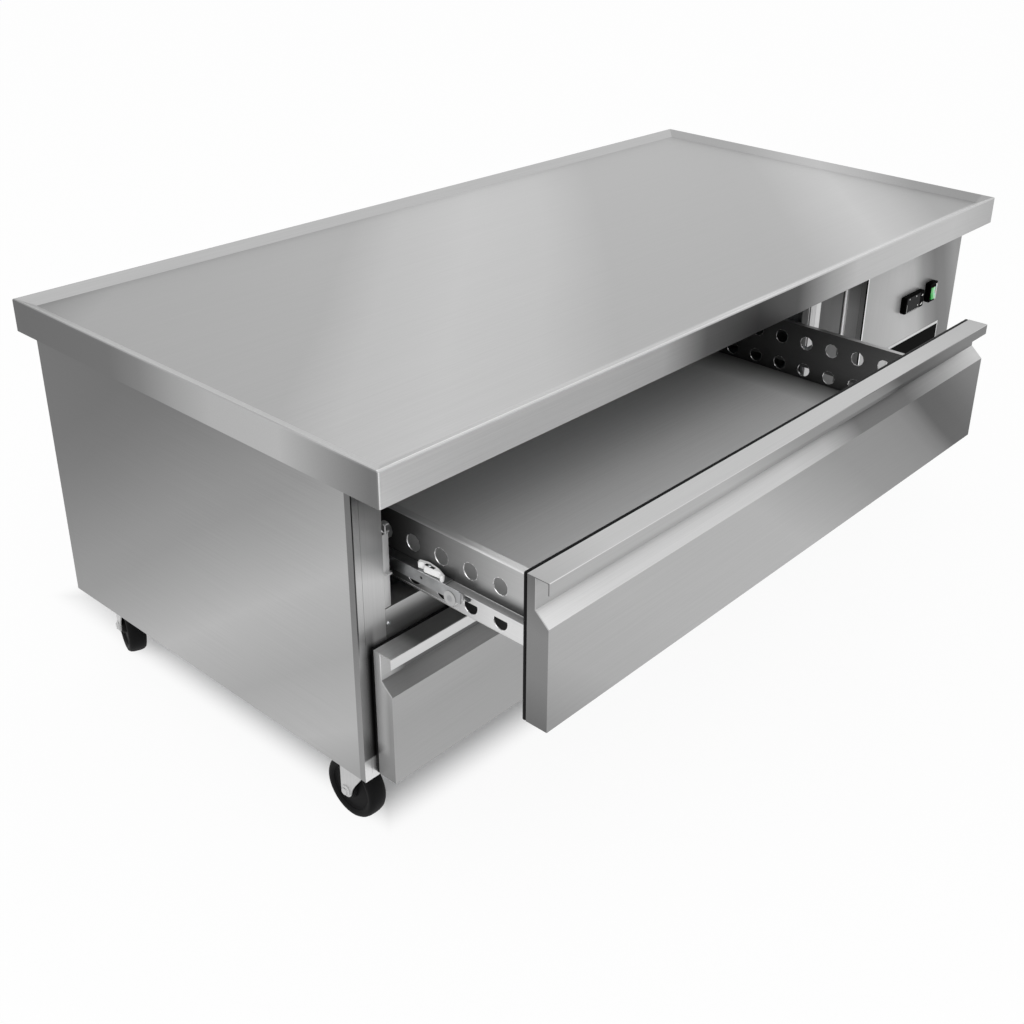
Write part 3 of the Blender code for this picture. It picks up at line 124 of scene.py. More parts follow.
def mesh_of(bm):
    """A bmesh as a mesh, with the bmesh freed."""
    mesh = bpy.data.meshes.new("blank")
    bm.to_mesh(mesh)
    bm.free()
    return mesh


def block(low, high, edge=0, segments=2):
    """A box between two corners, with its edges rounded."""
    bm = bmesh.new()
    bmesh.ops.create_cube(bm, size=1)
    bmesh.ops.scale(bm, vec=Vector(high) - Vector(low), verts=bm.verts)
    bmesh.ops.translate(bm, vec=(Vector(high) + Vector(low)) / 2, verts=bm.verts)
    if edge:
        bmesh.ops.bevel(bm, geom=bm.edges[:], offset=edge, segments=segments, profile=0.5, affect="EDGES")
    return mesh_of(bm)


def gathered(meshes):
    """Several meshes as one."""
    bm = bmesh.new()
    for mesh in meshes:
        bm.from_mesh(mesh)
    return mesh_of(bm)


def placed(name, data):
    """A new object with this data, linked to the scene."""
    obj = bpy.data.objects.new(name, data)
    bpy.context.scene.collection.objects.link(obj)
    return obj


def piece(name, mesh, material, body, replaced=(), crease=35):
    """Puts a finished mesh in the scene, on the body that it rides on."""
    mesh.name = name
    mesh.materials.clear()
    mesh.materials.append(material)
    mesh.shade_smooth()
    mesh.set_sharp_from_angle(angle=math.radians(crease))
    obj = placed(name, mesh)
    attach(obj, body)
    if replaced:
        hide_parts(*replaced)
    return obj


def lattice(name, shape, sizes):
    """A tree that sets one shape out in columns and rows, with each size as a named input."""
    tree = bpy.data.node_groups.new(name, "GeometryNodeTree")
    tree.interface.new_socket("Geometry", in_out="OUTPUT", socket_type="NodeSocketGeometry")
    for label, kind in (
        ("Start", "Vector"), ("Columns", "Int"), ("Column Step", "Vector"), ("Rows", "Int"),
        ("Row Step", "Vector"), ("Turn", "Vector"), ("Material", "Material"),
        *((label, "Float") for label in sizes),
    ):
        tree.interface.new_socket(label, in_out="INPUT", socket_type=f"NodeSocket{kind}")
    given = add(tree, "NodeGroupInput").outputs
    column = add(
        tree, "GeometryNodeMeshLine",
        links={"Count": given["Columns"], "Start Location": given["Start"], "Offset": given["Column Step"]},
    )
    row = add(tree, "GeometryNodeMeshLine", links={"Count": given["Rows"], "Offset": given["Row Step"]})
    rows = add(
        tree, "GeometryNodeInstanceOnPoints",
        links={"Points": column.outputs["Mesh"], "Instance": row.outputs["Mesh"]},
    )
    places = add(tree, "GeometryNodeRealizeInstances", links={"Geometry": rows.outputs["Instances"]})
    copies = add(
        tree, "GeometryNodeInstanceOnPoints",
        links={"Points": places.outputs["Geometry"], "Instance": shape(tree, given), "Rotation": given["Turn"]},
    )
    solid = add(tree, "GeometryNodeRealizeInstances", links={"Geometry": copies.outputs["Instances"]})
    coated = add(
        tree, "GeometryNodeSetMaterial",
        links={"Geometry": solid.outputs["Geometry"], "Material": given["Material"]},
    )
    add(tree, "NodeGroupOutput", links={"Geometry": coated.outputs["Geometry"]})
    return tree


def grown(tree, material, **sizes):
    """Runs a tree with its named inputs set, and gives the mesh that it makes."""
    bench = placed("bench", bpy.data.meshes.new("blank"))
    modifier = bench.modifiers.new("nodes", "NODES")
    modifier.node_group = tree
    values = {name.replace("_", " ").title(): value for name, value in sizes.items()}
    values["Material"] = material
    for socket in tree.interface.items_tree:
        if socket.in_out == "INPUT":
            modifier[socket.identifier] = values[socket.name]
    graph = bpy.context.evaluated_depsgraph_get()
    mesh = bpy.data.meshes.new_from_object(bench.evaluated_get(graph))
    bench.modifiers.remove(modifier)
    bpy.data.objects.remove(bench)
    return mesh


def hood(tree, given):
    """A pressed louvre: a thin tongue, as long as its slot, leaning out over it."""
    size = add(
        tree, "ShaderNodeCombineXYZ", links={"X": given["Length"], "Y": given["Reach"], "Z": given["Gauge"]},
    )
    return add(tree, "GeometryNodeMeshCube", links={"Size": size.outputs["Vector"]}).outputs["Mesh"]


def pan_head(tree, given):
    """A low screw head with a cross cut into it."""
    crown = add(tree, "ShaderNodeMath", {"operation": "MULTIPLY", 1: 0.72}, {0: given["Radius"]})
    head = add(
        tree, "GeometryNodeMeshCone", {"Vertices": 20},
        {"Radius Top": crown.outputs["Value"], "Radius Bottom": given["Radius"], "Depth": given["Height"]},
    )
    wide = add(tree, "ShaderNodeMath", {"operation": "MULTIPLY", 1: 1.1}, {0: given["Radius"]})
    thin = add(tree, "ShaderNodeMath", {"operation": "MULTIPLY", 1: 0.24}, {0: given["Radius"]})
    lifted = add(tree, "ShaderNodeCombineXYZ", links={"Z": given["Height"]})
    bars = []
    for across, along in ((wide, thin), (thin, wide)):
        size = add(
            tree, "ShaderNodeCombineXYZ",
            links={"X": across.outputs["Value"], "Y": along.outputs["Value"], "Z": given["Height"]},
        )
        bar = add(tree, "GeometryNodeMeshCube", links={"Size": size.outputs["Vector"]})
        bars.append(add(
            tree, "GeometryNodeTransform",
            links={"Geometry": bar.outputs["Mesh"], "Translation": lifted.outputs["Vector"]},
        ))
    whole = head.outputs["Mesh"]
    for bar in bars:
        whole = add(
            tree, "GeometryNodeMeshBoolean", {"operation": "DIFFERENCE"},
            {"Mesh 1": whole, "Mesh 2": bar.outputs["Geometry"]},
        ).outputs["Mesh"]
    return whole


PLATING_CLOUDS_PER_METRE = 45
RUB_MARKS_PER_METRE = (900, 8, 900)


def zinc_plate(name, low, high, roughness=0.32):
    """Bright plating: mirror-like but clouded, with fine rub marks along Y where parts slide."""
    material, tree, shader = finish_named(name, 1.0, roughness)
    place = add(tree, "ShaderNodeTexCoord").outputs["Object"]
    cloud = add(
        tree, "ShaderNodeTexNoise", {"Scale": PLATING_CLOUDS_PER_METRE, "Detail": 5, "Roughness": 0.6},
        {"Vector": place},
    )
    tree.links.new(blended(tree, cloud.outputs["Fac"], low, high), shader.inputs["Base Color"])
    drawn = add(tree, "ShaderNodeMapping", {"Scale": RUB_MARKS_PER_METRE}, {"Vector": place})
    marks = add(tree, "ShaderNodeTexNoise", {"Scale": 1.0, "Detail": 3}, {"Vector": drawn.outputs["Vector"]})
    rough = add(
        tree, "ShaderNodeMapRange", {"To Min": roughness - 0.12, "To Max": roughness + 0.14},
        {"Value": marks.outputs["Fac"]},
    )
    tree.links.new(rough.outputs["Result"], shader.inputs["Roughness"])
    bump = add(tree, "ShaderNodeBump", {"Strength": 0.10, "Distance": 0.0004}, {"Height": cloud.outputs["Fac"]})
    tree.links.new(bump.outputs["Normal"], shader.inputs["Normal"])
    return material


BACK_FACE = 0.47775
TOWARDS_BACK = (-math.pi / 2, 0, 0)
TOWARDS_FRONT = (math.pi / 2, 0, 0)
ONE_ROW = {"rows": 1, "row_step": (0, 0, 0)}
ALONE = {"columns": 1, "column_step": (0, 0, 0), **ONE_ROW}
SLOT_MIDDLE = 0.5531
BANK_STEP = (0.145, 0, 0)
SLOT_STEP = (0, 0, 0.014)
SLOT_LENGTH = 0.124
BACK_LOWEST_SLOT, BACK_SLOTS = 0.2444, 12
HOOD_LEAN = math.radians(42)
HOOD_GAUGE = 0.0009
BACK_SCREW_LEFT, BACK_SCREW_STEP = -0.792, 0.198
BACK_SCREW_ROWS = (0.162, 0.380, 0.560)
louvres = lattice("louvres", hood, ("Length", "Reach", "Gauge"))
screws = lattice("pan-head screws", pan_head, ("Radius", "Height"))
screw_zinc = zinc_plate("zinc-plated screw", "#A6A9AB", "#DADCDD", 0.28)
back_hoods = grown(
    louvres, galvanised_sheet, start=(SLOT_MIDDLE, BACK_FACE + 0.0022, BACK_LOWEST_SLOT), columns=2,
    column_step=BANK_STEP, rows=BACK_SLOTS, row_step=SLOT_STEP, turn=(-HOOD_LEAN, 0, 0),
    length=SLOT_LENGTH, reach=0.0072, gauge=HOOD_GAUGE,
)
piece("back_louvres", back_hoods, galvanised_sheet, "cabinet")
back_screws = [
    grown(
        screws, screw_zinc, start=(BACK_SCREW_LEFT, BACK_FACE, z), columns=9,
        column_step=(BACK_SCREW_STEP, 0, 0), **ONE_ROW, turn=TOWARDS_BACK, radius=0.0042, height=0.0022,
    )
    for z in BACK_SCREW_ROWS
]
piece("back_screws", gathered(back_screws), screw_zinc, "cabinet")

# Side skins, face frame and mullion: grade 430 stainless sheet, folded and spot-welded, with a satin grain.
# A 240 grit belt leaves scratches 0.1 to 0.3 mm wide along it, too fine to show here, so they are drawn
# about 1.6 mm wide; broad soft shading stands for the studio's panels.

SCRATCHES_PER_METRE = {"X": (5, 620, 620), "Y": (620, 5, 620), "Z": (620, 620, 5)}
SCRATCH_DEPTH = 0.0004
# No sheet is quite flat, so the edges of its soft reflections wander by up to 60 mm, in waves of 0.4 m.
WANDER = 0.06
WANDER_SHARE = 0.05
WAVES_PER_METRE = 2.3
# The cosines between which a face starts to count as looking one way, and counts fully.
TURNED_AWAY, FACING = 0.86, 0.94
ROUGHNESS_SWING = 0.06
UP = (0, 0, 1)
FORWARD = (0, -1, 0)
LEFTWARD = (-1, 0, 0)


def toned(tree, place, direction, stops):
    """A colour that runs along a direction, with each stop's place in metres along it."""
    first, last = stops[0][0], stops[-1][0]
    along = add(tree, "ShaderNodeVectorMath", {"operation": "DOT_PRODUCT", 1: direction}, {0: place})
    sway = min(WANDER, WANDER_SHARE * (last - first))
    drift = add(tree, "ShaderNodeTexNoise", {"Scale": WAVES_PER_METRE, "Detail": 1}, {"Vector": place})
    wander = add(
        tree, "ShaderNodeMath", {"operation": "MULTIPLY_ADD", 1: sway},
        {0: drift.outputs["Fac"], 2: along.outputs["Value"]},
    )
    share = add(
        tree, "ShaderNodeMapRange", {"From Min": first + sway / 2, "From Max": last + sway / 2},
        {"Value": wander.outputs["Value"]},
    )
    ramp = add(tree, "ShaderNodeValToRGB", links={"Fac": share.outputs["Result"]})
    while len(ramp.color_ramp.elements) < len(stops):
        ramp.color_ramp.elements.new(0.5)
    for element, (at, colour) in zip(ramp.color_ramp.elements, stops):
        element.position = (at - first) / (last - first)
        element.color = linear(colour)
    return ramp.outputs["Color"]


def facing_share(tree, coordinates, facing):
    """One where a face looks this way, and nothing where it is turned more than some 30 degrees off."""
    turned = add(
        tree, "ShaderNodeVectorMath", {"operation": "DOT_PRODUCT", 1: Vector(facing).normalized()},
        {0: coordinates.outputs["Normal"]},
    )
    return add(
        tree, "ShaderNodeMapRange", {"From Min": TURNED_AWAY, "From Max": FACING},
        {"Value": turned.outputs["Value"]},
    ).outputs["Result"]


def satin_steel(
    name, grain, direction, stops, fields=(), contrast=0.05, roughness=0.34, metallic=0.9, veiled=None,
):
    """Belt-ground stainless, with the grain along an axis.

    The soft reflections run along a direction. Each field gives the faces that look one way tones of their own,
    where it has a span only from its first place along the span's direction to the second. Faces that look the
    veiled way have a metallic share of their own.
    """
    material, tree, shader = finish_named(name, metallic, roughness)
    coordinates = add(tree, "ShaderNodeTexCoord")
    place = coordinates.outputs["Object"]
    colour = toned(tree, place, direction, stops)
    for facing, field_direction, field_stops, *span in fields:
        share = facing_share(tree, coordinates, facing)
        for span_direction, none_at, full_at in span:
            along = add(
                tree, "ShaderNodeVectorMath", {"operation": "DOT_PRODUCT", 1: span_direction}, {0: place},
            )
            inside = add(
                tree, "ShaderNodeMapRange", {"From Min": none_at, "From Max": full_at},
                {"Value": along.outputs["Value"]},
            )
            share = add(
                tree, "ShaderNodeMath", {"operation": "MULTIPLY"}, {0: share, 1: inside.outputs["Result"]},
            ).outputs["Value"]
        mixed = add(
            tree, "ShaderNodeMix", {"data_type": "RGBA"},
            {0: share, 6: colour, 7: toned(tree, place, field_direction, field_stops)},
        )
        colour = mixed.outputs[2]
    if veiled:
        veil = add(
            tree, "ShaderNodeMapRange", {"To Min": metallic, "To Max": veiled[1]},
            {"Value": facing_share(tree, coordinates, veiled[0])},
        )
        tree.links.new(veil.outputs["Result"], shader.inputs["Metallic"])
    stretched = add(tree, "ShaderNodeMapping", {"Scale": SCRATCHES_PER_METRE[grain]}, {"Vector": place})
    scratches = add(
        tree, "ShaderNodeTexNoise", {"Scale": 1.0, "Detail": 4, "Roughness": 0.65},
        {"Vector": stretched.outputs["Vector"]},
    )
    streak = add(
        tree, "ShaderNodeMapRange",
        {"From Min": 0.3, "From Max": 0.7, "To Min": 1 - contrast, "To Max": 1 + contrast},
        {"Value": scratches.outputs["Fac"]},
    )
    ground = add(
        tree, "ShaderNodeVectorMath", {"operation": "SCALE"}, {0: colour, "Scale": streak.outputs["Result"]},
    )
    tree.links.new(ground.outputs["Vector"], shader.inputs["Base Color"])
    rough = add(
        tree, "ShaderNodeMapRange",
        {"To Min": roughness - ROUGHNESS_SWING, "To Max": roughness + ROUGHNESS_SWING},
        {"Value": scratches.outputs["Fac"]},
    )
    tree.links.new(rough.outputs["Result"], shader.inputs["Roughness"])
    bump = add(
        tree, "ShaderNodeBump", {"Strength": 0.06, "Distance": SCRATCH_DEPTH},
        {"Height": scratches.outputs["Fac"]},
    )
    tree.links.new(bump.outputs["Normal"], shader.inputs["Normal"])
    return material


ACROSS = (1, 0, 0)
BODY_LEFT, BODY_RIGHT = -0.8177, 0.8177
FRAME_FACE = -0.22925
SKIN_GAUGE = 0.0012
BODY_BASE = 0.1485
HEM_LOW = 0.1388
# The frame's left post, from the drawer's shade up: the same light falls on the skin's fold beside it.
POST_TONES = [
    (-0.10, 0xC8), (-0.06, 0xB0), (0.11, 0xAA), (0.18, 0xC0), (0.21, 0xCA), (0.25, 0xAC), (0.27, 0xB6),
    (0.295, 0xC2), (0.315, 0xA4), (0.325, 0x80), (0.34, 0x7C), (0.50, 0xB8), (0.58, 0xCE), (0.70, 0xD2),
]
# POST_SHADE is a painted shadow on the post beside the lower drawer; the post's foot below it is painted light, a
# painted reflection of the floor.
POST_SHADE = (
    FORWARD, ACROSS, [(-0.8177, 0x9C), (-0.8085, 0x6E), (-0.8000, 0x30), (-0.7960, 0x2A)],
    (UP, 0.380, 0.335), (ACROSS, -0.790, -0.795),
)
POST_FOOT_LIGHT = (FORWARD, ACROSS, [(-0.83, 0xE4), (-0.70, 0xDC)], (UP, 0.175, 0.172), (ACROSS, -0.790, -0.795))
side_steel = satin_steel(
    "satin stainless, side skin", "Y", (0, 1, 1.4),
    [(0.00, 0xA0), (0.10, 0xB4), (0.18, 0xAE), (0.26, 0xA7), (0.34, 0xAE), (0.44, 0xB6), (0.51, 0xAA),
     (0.58, 0x9E), (0.65, 0x93), (0.72, 0x8E), (0.80, 0x84), (0.88, 0x79), (0.96, 0x6F), (1.06, 0x67),
     (1.40, 0x64)],
    [
        (LEFTWARD, UP, [
            (0.14, 0x8C), (0.25, 0x8C), (0.36, 0x7A), (0.48, 0x74), (0.53, 0x72), (0.57, 0x68),
        ], (FORWARD, 0.2180, 0.2188)),
        (FORWARD, (0.3, 0, 1), POST_TONES),
        (FORWARD, UP, [(0.15, 0xA0), (0.30, 0x4A), (0.57, 0x26)], (ACROSS, -0.8150, -0.8160)),
        POST_SHADE, POST_FOOT_LIGHT,
    ],
)
dress(side_steel, "side_panel_left", "side_panel_right")
frame_steel = satin_steel("satin stainless, face frame", "Z", (0.3, 0, 1), POST_TONES, [POST_SHADE, POST_FOOT_LIGHT])
dress(frame_steel, "face_frame")
# The mullion darkens towards its foot: a painted shadow above the lower drawer.
mullion_steel = satin_steel("satin stainless, mullion", "X", UP, [(0.32, 0x7C), (0.37, 0x8C), (0.40, 0xC8)])
dress(mullion_steel, "mullion")

# Bottom hem: the skins' lower edge, folded under and hanging a little below the base plate.
# The same stainless sheet, running round all four sides and hiding the casters' plates.

BODY_BACK = 0.4778
side_hems = [
    block((x, FRAME_FACE, HEM_LOW), (x + SKIN_GAUGE, BODY_BACK, BODY_BASE))
    for x in (BODY_LEFT, BODY_RIGHT - SKIN_GAUGE)
]
end_hems = [
    block((BODY_LEFT + SKIN_GAUGE, y, HEM_LOW), (BODY_RIGHT - SKIN_GAUGE, y + SKIN_GAUGE, BODY_BASE))
    for y in (FRAME_FACE, BODY_BACK - SKIN_GAUGE)
]
piece("side_hems", gathered(side_hems), side_steel, "cabinet")
piece("end_hems", gathered(end_hems), frame_steel, "cabinet")

# Insulated liner and evaporator cover: aluminium sheet formed round poured foam.
# Mill finish, wiped clean: paler and softer than the outer steel, with faint rolling lines.

liner_sheet = satin_steel(
    "mill-finish aluminium liner", "X", UP, [(0.15, "#8C8E8F"), (0.62, "#B5B8B9")],
    contrast=0.03, roughness=0.46,
)
dress(liner_sheet, "insulated_liner", "evaporator_cover")

# Recess facing: a stainless channel between the drawer opening and the machine compartment.
# It lies in shade, so its faces read darker, with one light line where it is folded.

def spun(profile, sides, axis_turn=None):
    """A closed (radius, height) profile turned round the Z axis, and then laid along another axis."""
    bm = bmesh.new()
    rings = []
    for i in range(sides):
        angle = math.tau * i / sides
        rings.append([bm.verts.new((r * math.cos(angle), r * math.sin(angle), z)) for r, z in profile])
    for i in range(sides):
        here, there = rings[i], rings[(i + 1) % sides]
        for j in range(len(profile)):
            k = (j + 1) % len(profile)
            bm.faces.new((here[j], there[j], there[k], here[k]))
    bmesh.ops.remove_doubles(bm, verts=bm.verts, dist=1e-6)
    bmesh.ops.recalc_face_normals(bm, faces=bm.faces)
    mesh = mesh_of(bm)
    if axis_turn:
        mesh.transform(axis_turn)
    return mesh


recess_steel = satin_steel(
    "satin stainless, recess", "Z", ACROSS,
    [(0.26, 0x54), (0.35, 0x5A), (0.40, 0x86), (0.4205, 0x8E), (0.4230, 0x24), (0.43, 0x24)],
    [
        (LEFTWARD, UP, [(0.15, 0xCF), (0.47, 0xCF), (0.53, 0xA0), (0.60, 0x80)]),
        (FORWARD, ACROSS, [(0.41, 0x6A), (0.4265, 0x6A), (0.4285, 0x20)], (FORWARD, 0.2100, 0.2200)),
    ],
    contrast=0.04,
)
dress(recess_steel, "recess_facing")
# A rounded bead stands in the corner, coloured near white and made only slightly metallic: a painted highlight,
# the one pale line that the corner catches.
bead_highlight_steel = satin_steel("satin stainless, corner bead", "Z", UP, [(0.15, 0xF8), (0.60, 0xFC)], metallic=0.3)
BEAD_RADIUS = 0.0027
BEAD_HALF = 0.199
BEAD_MIDDLE = (0.4308, -0.1872, 0.3500)
bead = spun([(0.0, -BEAD_HALF), (BEAD_RADIUS, -BEAD_HALF), (BEAD_RADIUS, BEAD_HALF), (0.0, BEAD_HALF)], 24)
bead.transform(Matrix.Translation(BEAD_MIDDLE))
piece("recess_bead", bead, bead_highlight_steel, "cabinet")

# Slide brackets and telescopic slides: zinc-plated pressed steel.
# Bright blue-white plating with rub marks along the running faces.

bracket_zinc = zinc_plate("zinc-plated bracket", "#9C9D9E", "#D4D5D6")
slide_zinc = zinc_plate("zinc-plated slide", "#8C8D8E", "#C4C5C6")
dress(bracket_zinc, "slide_bracket_left", "slide_bracket_right")
slide_nodes = [
    f"{drawer}_{side}_{member}_slide"
    for drawer in ("upper", "lower") for side in ("left", "right") for member in ("cabinet", "middle")
]
dress(slide_zinc, *slide_nodes)
# The lips are bare plating, painted a soft, even pale grey and made half metallic so that they read lit though
# they stand in the opening's shade: painted light.
lip_zinc = satin_steel(
    "zinc-plated bracket lip", "Z", UP, [(0.39, 0xC4), (0.56, 0xC8)], metallic=0.5, roughness=0.42,
)
LIP_FACE = -0.2291
LIP_GAUGE = 0.0012
LIP_TOP, LIP_FOOT = 0.5525, 0.3925
BRACKET_FRONT = -0.2167
LEFT_LIP = (-0.7602, -0.7702)
RIGHT_LIP = (0.2310, 0.2484)
lips = []
for (inner, outer), low, high in (
    (LEFT_LIP, LIP_FOOT, 0.5000), (RIGHT_LIP, 0.4600, LIP_TOP), (RIGHT_LIP, LIP_FOOT, 0.4240),
):
    web = outer + math.copysign(LIP_GAUGE, inner - outer)
    near, far = sorted((inner, outer))
    lips.append(block((near, LIP_FACE, low), (far, LIP_FACE + LIP_GAUGE, high), 0.0003))
    lips.append(block((min(web, outer), LIP_FACE + LIP_GAUGE, low), (max(web, outer), BRACKET_FRONT, high)))
lips.append(block((0.2244, LIP_FACE, 0.4640), (0.2260, BRACKET_FRONT, LIP_TOP)))
piece("bracket_lips", gathered(lips), lip_zinc, "cabinet")
# Above the left lip a bent clip: its root, its upright and its tip. Below it, the foot of the next one.
CLIP_LEFT = -0.7690
clips = [
    block((CLIP_LEFT, near, low), (right, far, high), 0.0004)
    for near, low, right, far, high in (
        (-0.2330, 0.5035, -0.7615, -0.2290, 0.5050), (-0.2338, 0.5035, -0.7675, -0.2325, 0.5160),
        (-0.2338, 0.5145, -0.7620, -0.2300, 0.5160), (-0.2338, 0.4418, -0.7600, -0.2288, 0.4444),
    )
]
piece("bracket_clips", gathered(clips), lip_zinc, "cabinet")
mullion_screws = grown(
    screws, screw_zinc, start=(-0.7656, FRAME_FACE, 0.3686), columns=2, column_step=(1.0086, 0, 0),
    **ONE_ROW, turn=TOWARDS_FRONT, radius=0.0033, height=0.0018,
)
piece("mullion_screws", mullion_screws, screw_zinc, "cabinet")

# Slide rollers and release lever: white acetal, injection moulded.
# Smooth and slightly waxy, with a soft edge where the mould closes.

TINTS_PER_METRE = 30
TINT_SWING = 0.15
GRAIN_DEPTH = 0.0003


def moulded(name, colour, roughness, grain_scale=900, relief=0.08, settings=None, gloss=0.3, tones=None):
    """Moulded plastic, rubber or sealant: one colour with a slight cloud, and a fine texture in relief."""
    material, tree, shader = finish_named(
        name, 0.0, roughness, {"Specular IOR Level": gloss, **(settings or {})},
    )
    place = add(tree, "ShaderNodeTexCoord").outputs["Object"]
    cloud = add(tree, "ShaderNodeTexNoise", {"Scale": TINTS_PER_METRE, "Detail": 3}, {"Vector": place})
    shade = add(
        tree, "ShaderNodeMapRange", {"To Min": 1 - TINT_SWING, "To Max": 1 + TINT_SWING},
        {"Value": cloud.outputs["Fac"]},
    )
    base = toned(tree, place, *(tones or (UP, [(0, colour), (1, colour)])))
    tinted = add(
        tree, "ShaderNodeVectorMath", {"operation": "SCALE"}, {0: base, "Scale": shade.outputs["Result"]},
    )
    tree.links.new(tinted.outputs["Vector"], shader.inputs["Base Color"])
    texture = add(tree, "ShaderNodeTexNoise", {"Scale": grain_scale, "Detail": 2}, {"Vector": place})
    bump = add(
        tree, "ShaderNodeBump", {"Strength": relief, "Distance": GRAIN_DEPTH},
        {"Height": texture.outputs["Fac"]},
    )
    tree.links.new(bump.outputs["Normal"], shader.inputs["Normal"])
    return material


white_acetal = moulded("white acetal", "#F4F4F4", 0.30, relief=0.02)
ROLLER_LINES = {"upper": (-0.3237, 0.4390), "lower": (-0.19245, 0.2128)}
ROLLER_PLACES = {"left": -0.7388, "right": 0.2162}
WASHER_PLACES = {"left": -0.74775, "right": 0.22515}
ALONG_X = Matrix.Rotation(math.pi / 2, 4, "Y")
roller_profile = [
    (0.0033, 0.0050), (0.0060, 0.0050), (0.0062, 0.0042), (0.0086, 0.0042), (0.0088, 0.0050), (0.0097, 0.0050),
    (0.0105, 0.0042), (0.0105, -0.0042), (0.0097, -0.0050), (0.0088, -0.0050), (0.0086, -0.0042),
    (0.0062, -0.0042), (0.0060, -0.0050), (0.0033, -0.0050),
]
for drawer, (y, z) in ROLLER_LINES.items():
    for side, x in ROLLER_PLACES.items():
        roller = spun(roller_profile, 56, ALONG_X)
        roller.transform(Matrix.Translation((x, y, z)))
        node = f"{drawer}_{side}_slide_roller"
        piece(f"{node}_wheel", roller, white_acetal, f"{drawer}_{side}_roller", [node])
dress(white_acetal, "upper_left_slide_lever")
worn_acetal = moulded("acetal washer, worn grey", "#B2B2B2", 0.45, relief=0.02)
washer_profile = [(0.0036, 0.0003), (0.0100, 0.0003), (0.0103, 0.0), (0.0100, -0.0003), (0.0036, -0.0003)]
for drawer, (y, z) in ROLLER_LINES.items():
    for side, x in WASHER_PLACES.items():
        washer = spun(washer_profile, 48, ALONG_X)
        washer.transform(Matrix.Translation((x, y, z)))
        piece(f"{drawer}_{side}_roller_washer", washer, worn_acetal, f"{drawer}_{side}_roller")
# The lever's top has a slot, drawn as a thin dark patch of painted shade, and a small screw; the middle slide's
# flanges carry thin pale strips along their edges, a painted highlight.
LEVER_TOP = 0.4643
dark_zinc_and_slot_shade = zinc_plate("dark zinc, with painted slot shade", "#3A3B3C", "#5E5F60")
lever_slot = block((-0.7425, -0.2905, LEVER_TOP - 0.0006), (-0.7382, -0.2745, LEVER_TOP + 0.0003), 0.0002)
piece("lever_slot", lever_slot, dark_zinc_and_slot_shade, "slide_lever")
# The flange strips are coloured near white: a painted highlight along the middle slide's edges.
flange_highlight_zinc = zinc_plate("zinc-plated flange edge, painted highlight", "#D0D1D2", "#F0F1F2", 0.3)
FLANGE_LEFT, FLANGE_RIGHT = -0.7470, -0.7458
FLANGE_FRONT, FLANGE_BACK = -0.3390, 0.2170
flange_highlights = [
    block((FLANGE_LEFT, FLANGE_FRONT, z - 0.0002), (FLANGE_RIGHT, FLANGE_BACK, z + 0.0003), 0.0002, 1)
    for z in (0.4546, 0.4291)
]
piece("flange_highlights", gathered(flange_highlights), flange_highlight_zinc, "upper_slides")
lever_screw = grown(
    screws, screw_zinc, start=(-0.7400, -0.2817, LEVER_TOP + 0.0003), **ALONE, turn=(0, 0, 0.4),
    radius=0.0027, height=0.0012,
)
piece("lever_screw", lever_screw, screw_zinc, "slide_lever")

# Drawers: satin stainless fronts foamed and sealed, on pressed stainless frames.
# The front's sheet is folded into the grip channel; its face takes the studio's light in broad bands.

GRIP_SLOPE = (0, -0.66, 0.75)
front_steel = satin_steel(
    "satin stainless, upper drawer front", "X", (1, 0, 1.33),
    [(-0.28, 0x98), (-0.16, 0xAF), (0.0, 0xB4), (0.27, 0xB3), (0.385, 0xA0), (0.48, 0x8F), (0.60, 0x86),
     (0.66, 0x7E), (0.70, 0x6C), (0.735, 0x40), (0.79, 0x42), (0.84, 0x50), (0.89, 0x63), (0.95, 0x70)],
    [
        (UP, ACROSS, [(-0.80, 0xAE), (-0.68, 0xC0), (0.0, 0xBE), (0.28, 0xB0)]),
        (GRIP_SLOPE, ACROSS, [
            (-0.80, 0xE0), (-0.68, 0xD2), (-0.30, 0xCA), (-0.21, 0xB8), (-0.12, 0x74), (0.03, 0x6A),
            (0.16, 0x9E), (0.27, 0xC6),
        ]),
        (LEFTWARD, UP, [(0.37, 0x69), (0.44, 0x80), (0.50, 0x84), (0.57, 0x6C)]),
    ],
)
# On the lower front, the forward-looking faces deep in the grip channel are painted darker, a painted shade, and
# its left-looking inner faces are painted light above z = 0.205.
lower_front_steel = satin_steel(
    "satin stainless, lower drawer front", "X", UP,
    [(0.14, 0xA9), (0.24, 0xA7), (0.30, 0xAD), (0.325, 0xD6), (0.35, 0xDC)],
    [
        (UP, ACROSS, [(-0.80, 0xF4), (-0.76, 0xE4), (-0.74, 0x94), (-0.60, 0x84), (0.28, 0x8A)]),
        (GRIP_SLOPE, ACROSS, [(-0.80, 0xAC), (-0.60, 0xA4), (0.28, 0x8A)]),
        (LEFTWARD, UP, [(0.15, 0x7C), (0.20, 0x8C), (0.27, 0x98), (0.34, 0xB0)]),
        (LEFTWARD, UP, [(0.15, 0x7C), (0.185, 0x8C), (0.205, 0xE4), (0.34, 0xE4)], (FORWARD, 0.2600, 0.2400)),
        (FORWARD, ACROSS, [
            (-0.81, 0xBC), (-0.78, 0xB4), (-0.755, 0x6A), (0.28, 0x56),
        ], (FORWARD, 0.2600, 0.2560)),
    ],
)
dress(front_steel, "upper_drawer_front")
dress(lower_front_steel, "lower_drawer_front")

# Drawer frames: perforated stainless sides with folded flanges and rails, a plain back and a loose floor.
# The holes' edges are pressed round and shine; the inner faces look into the dark cabinet.

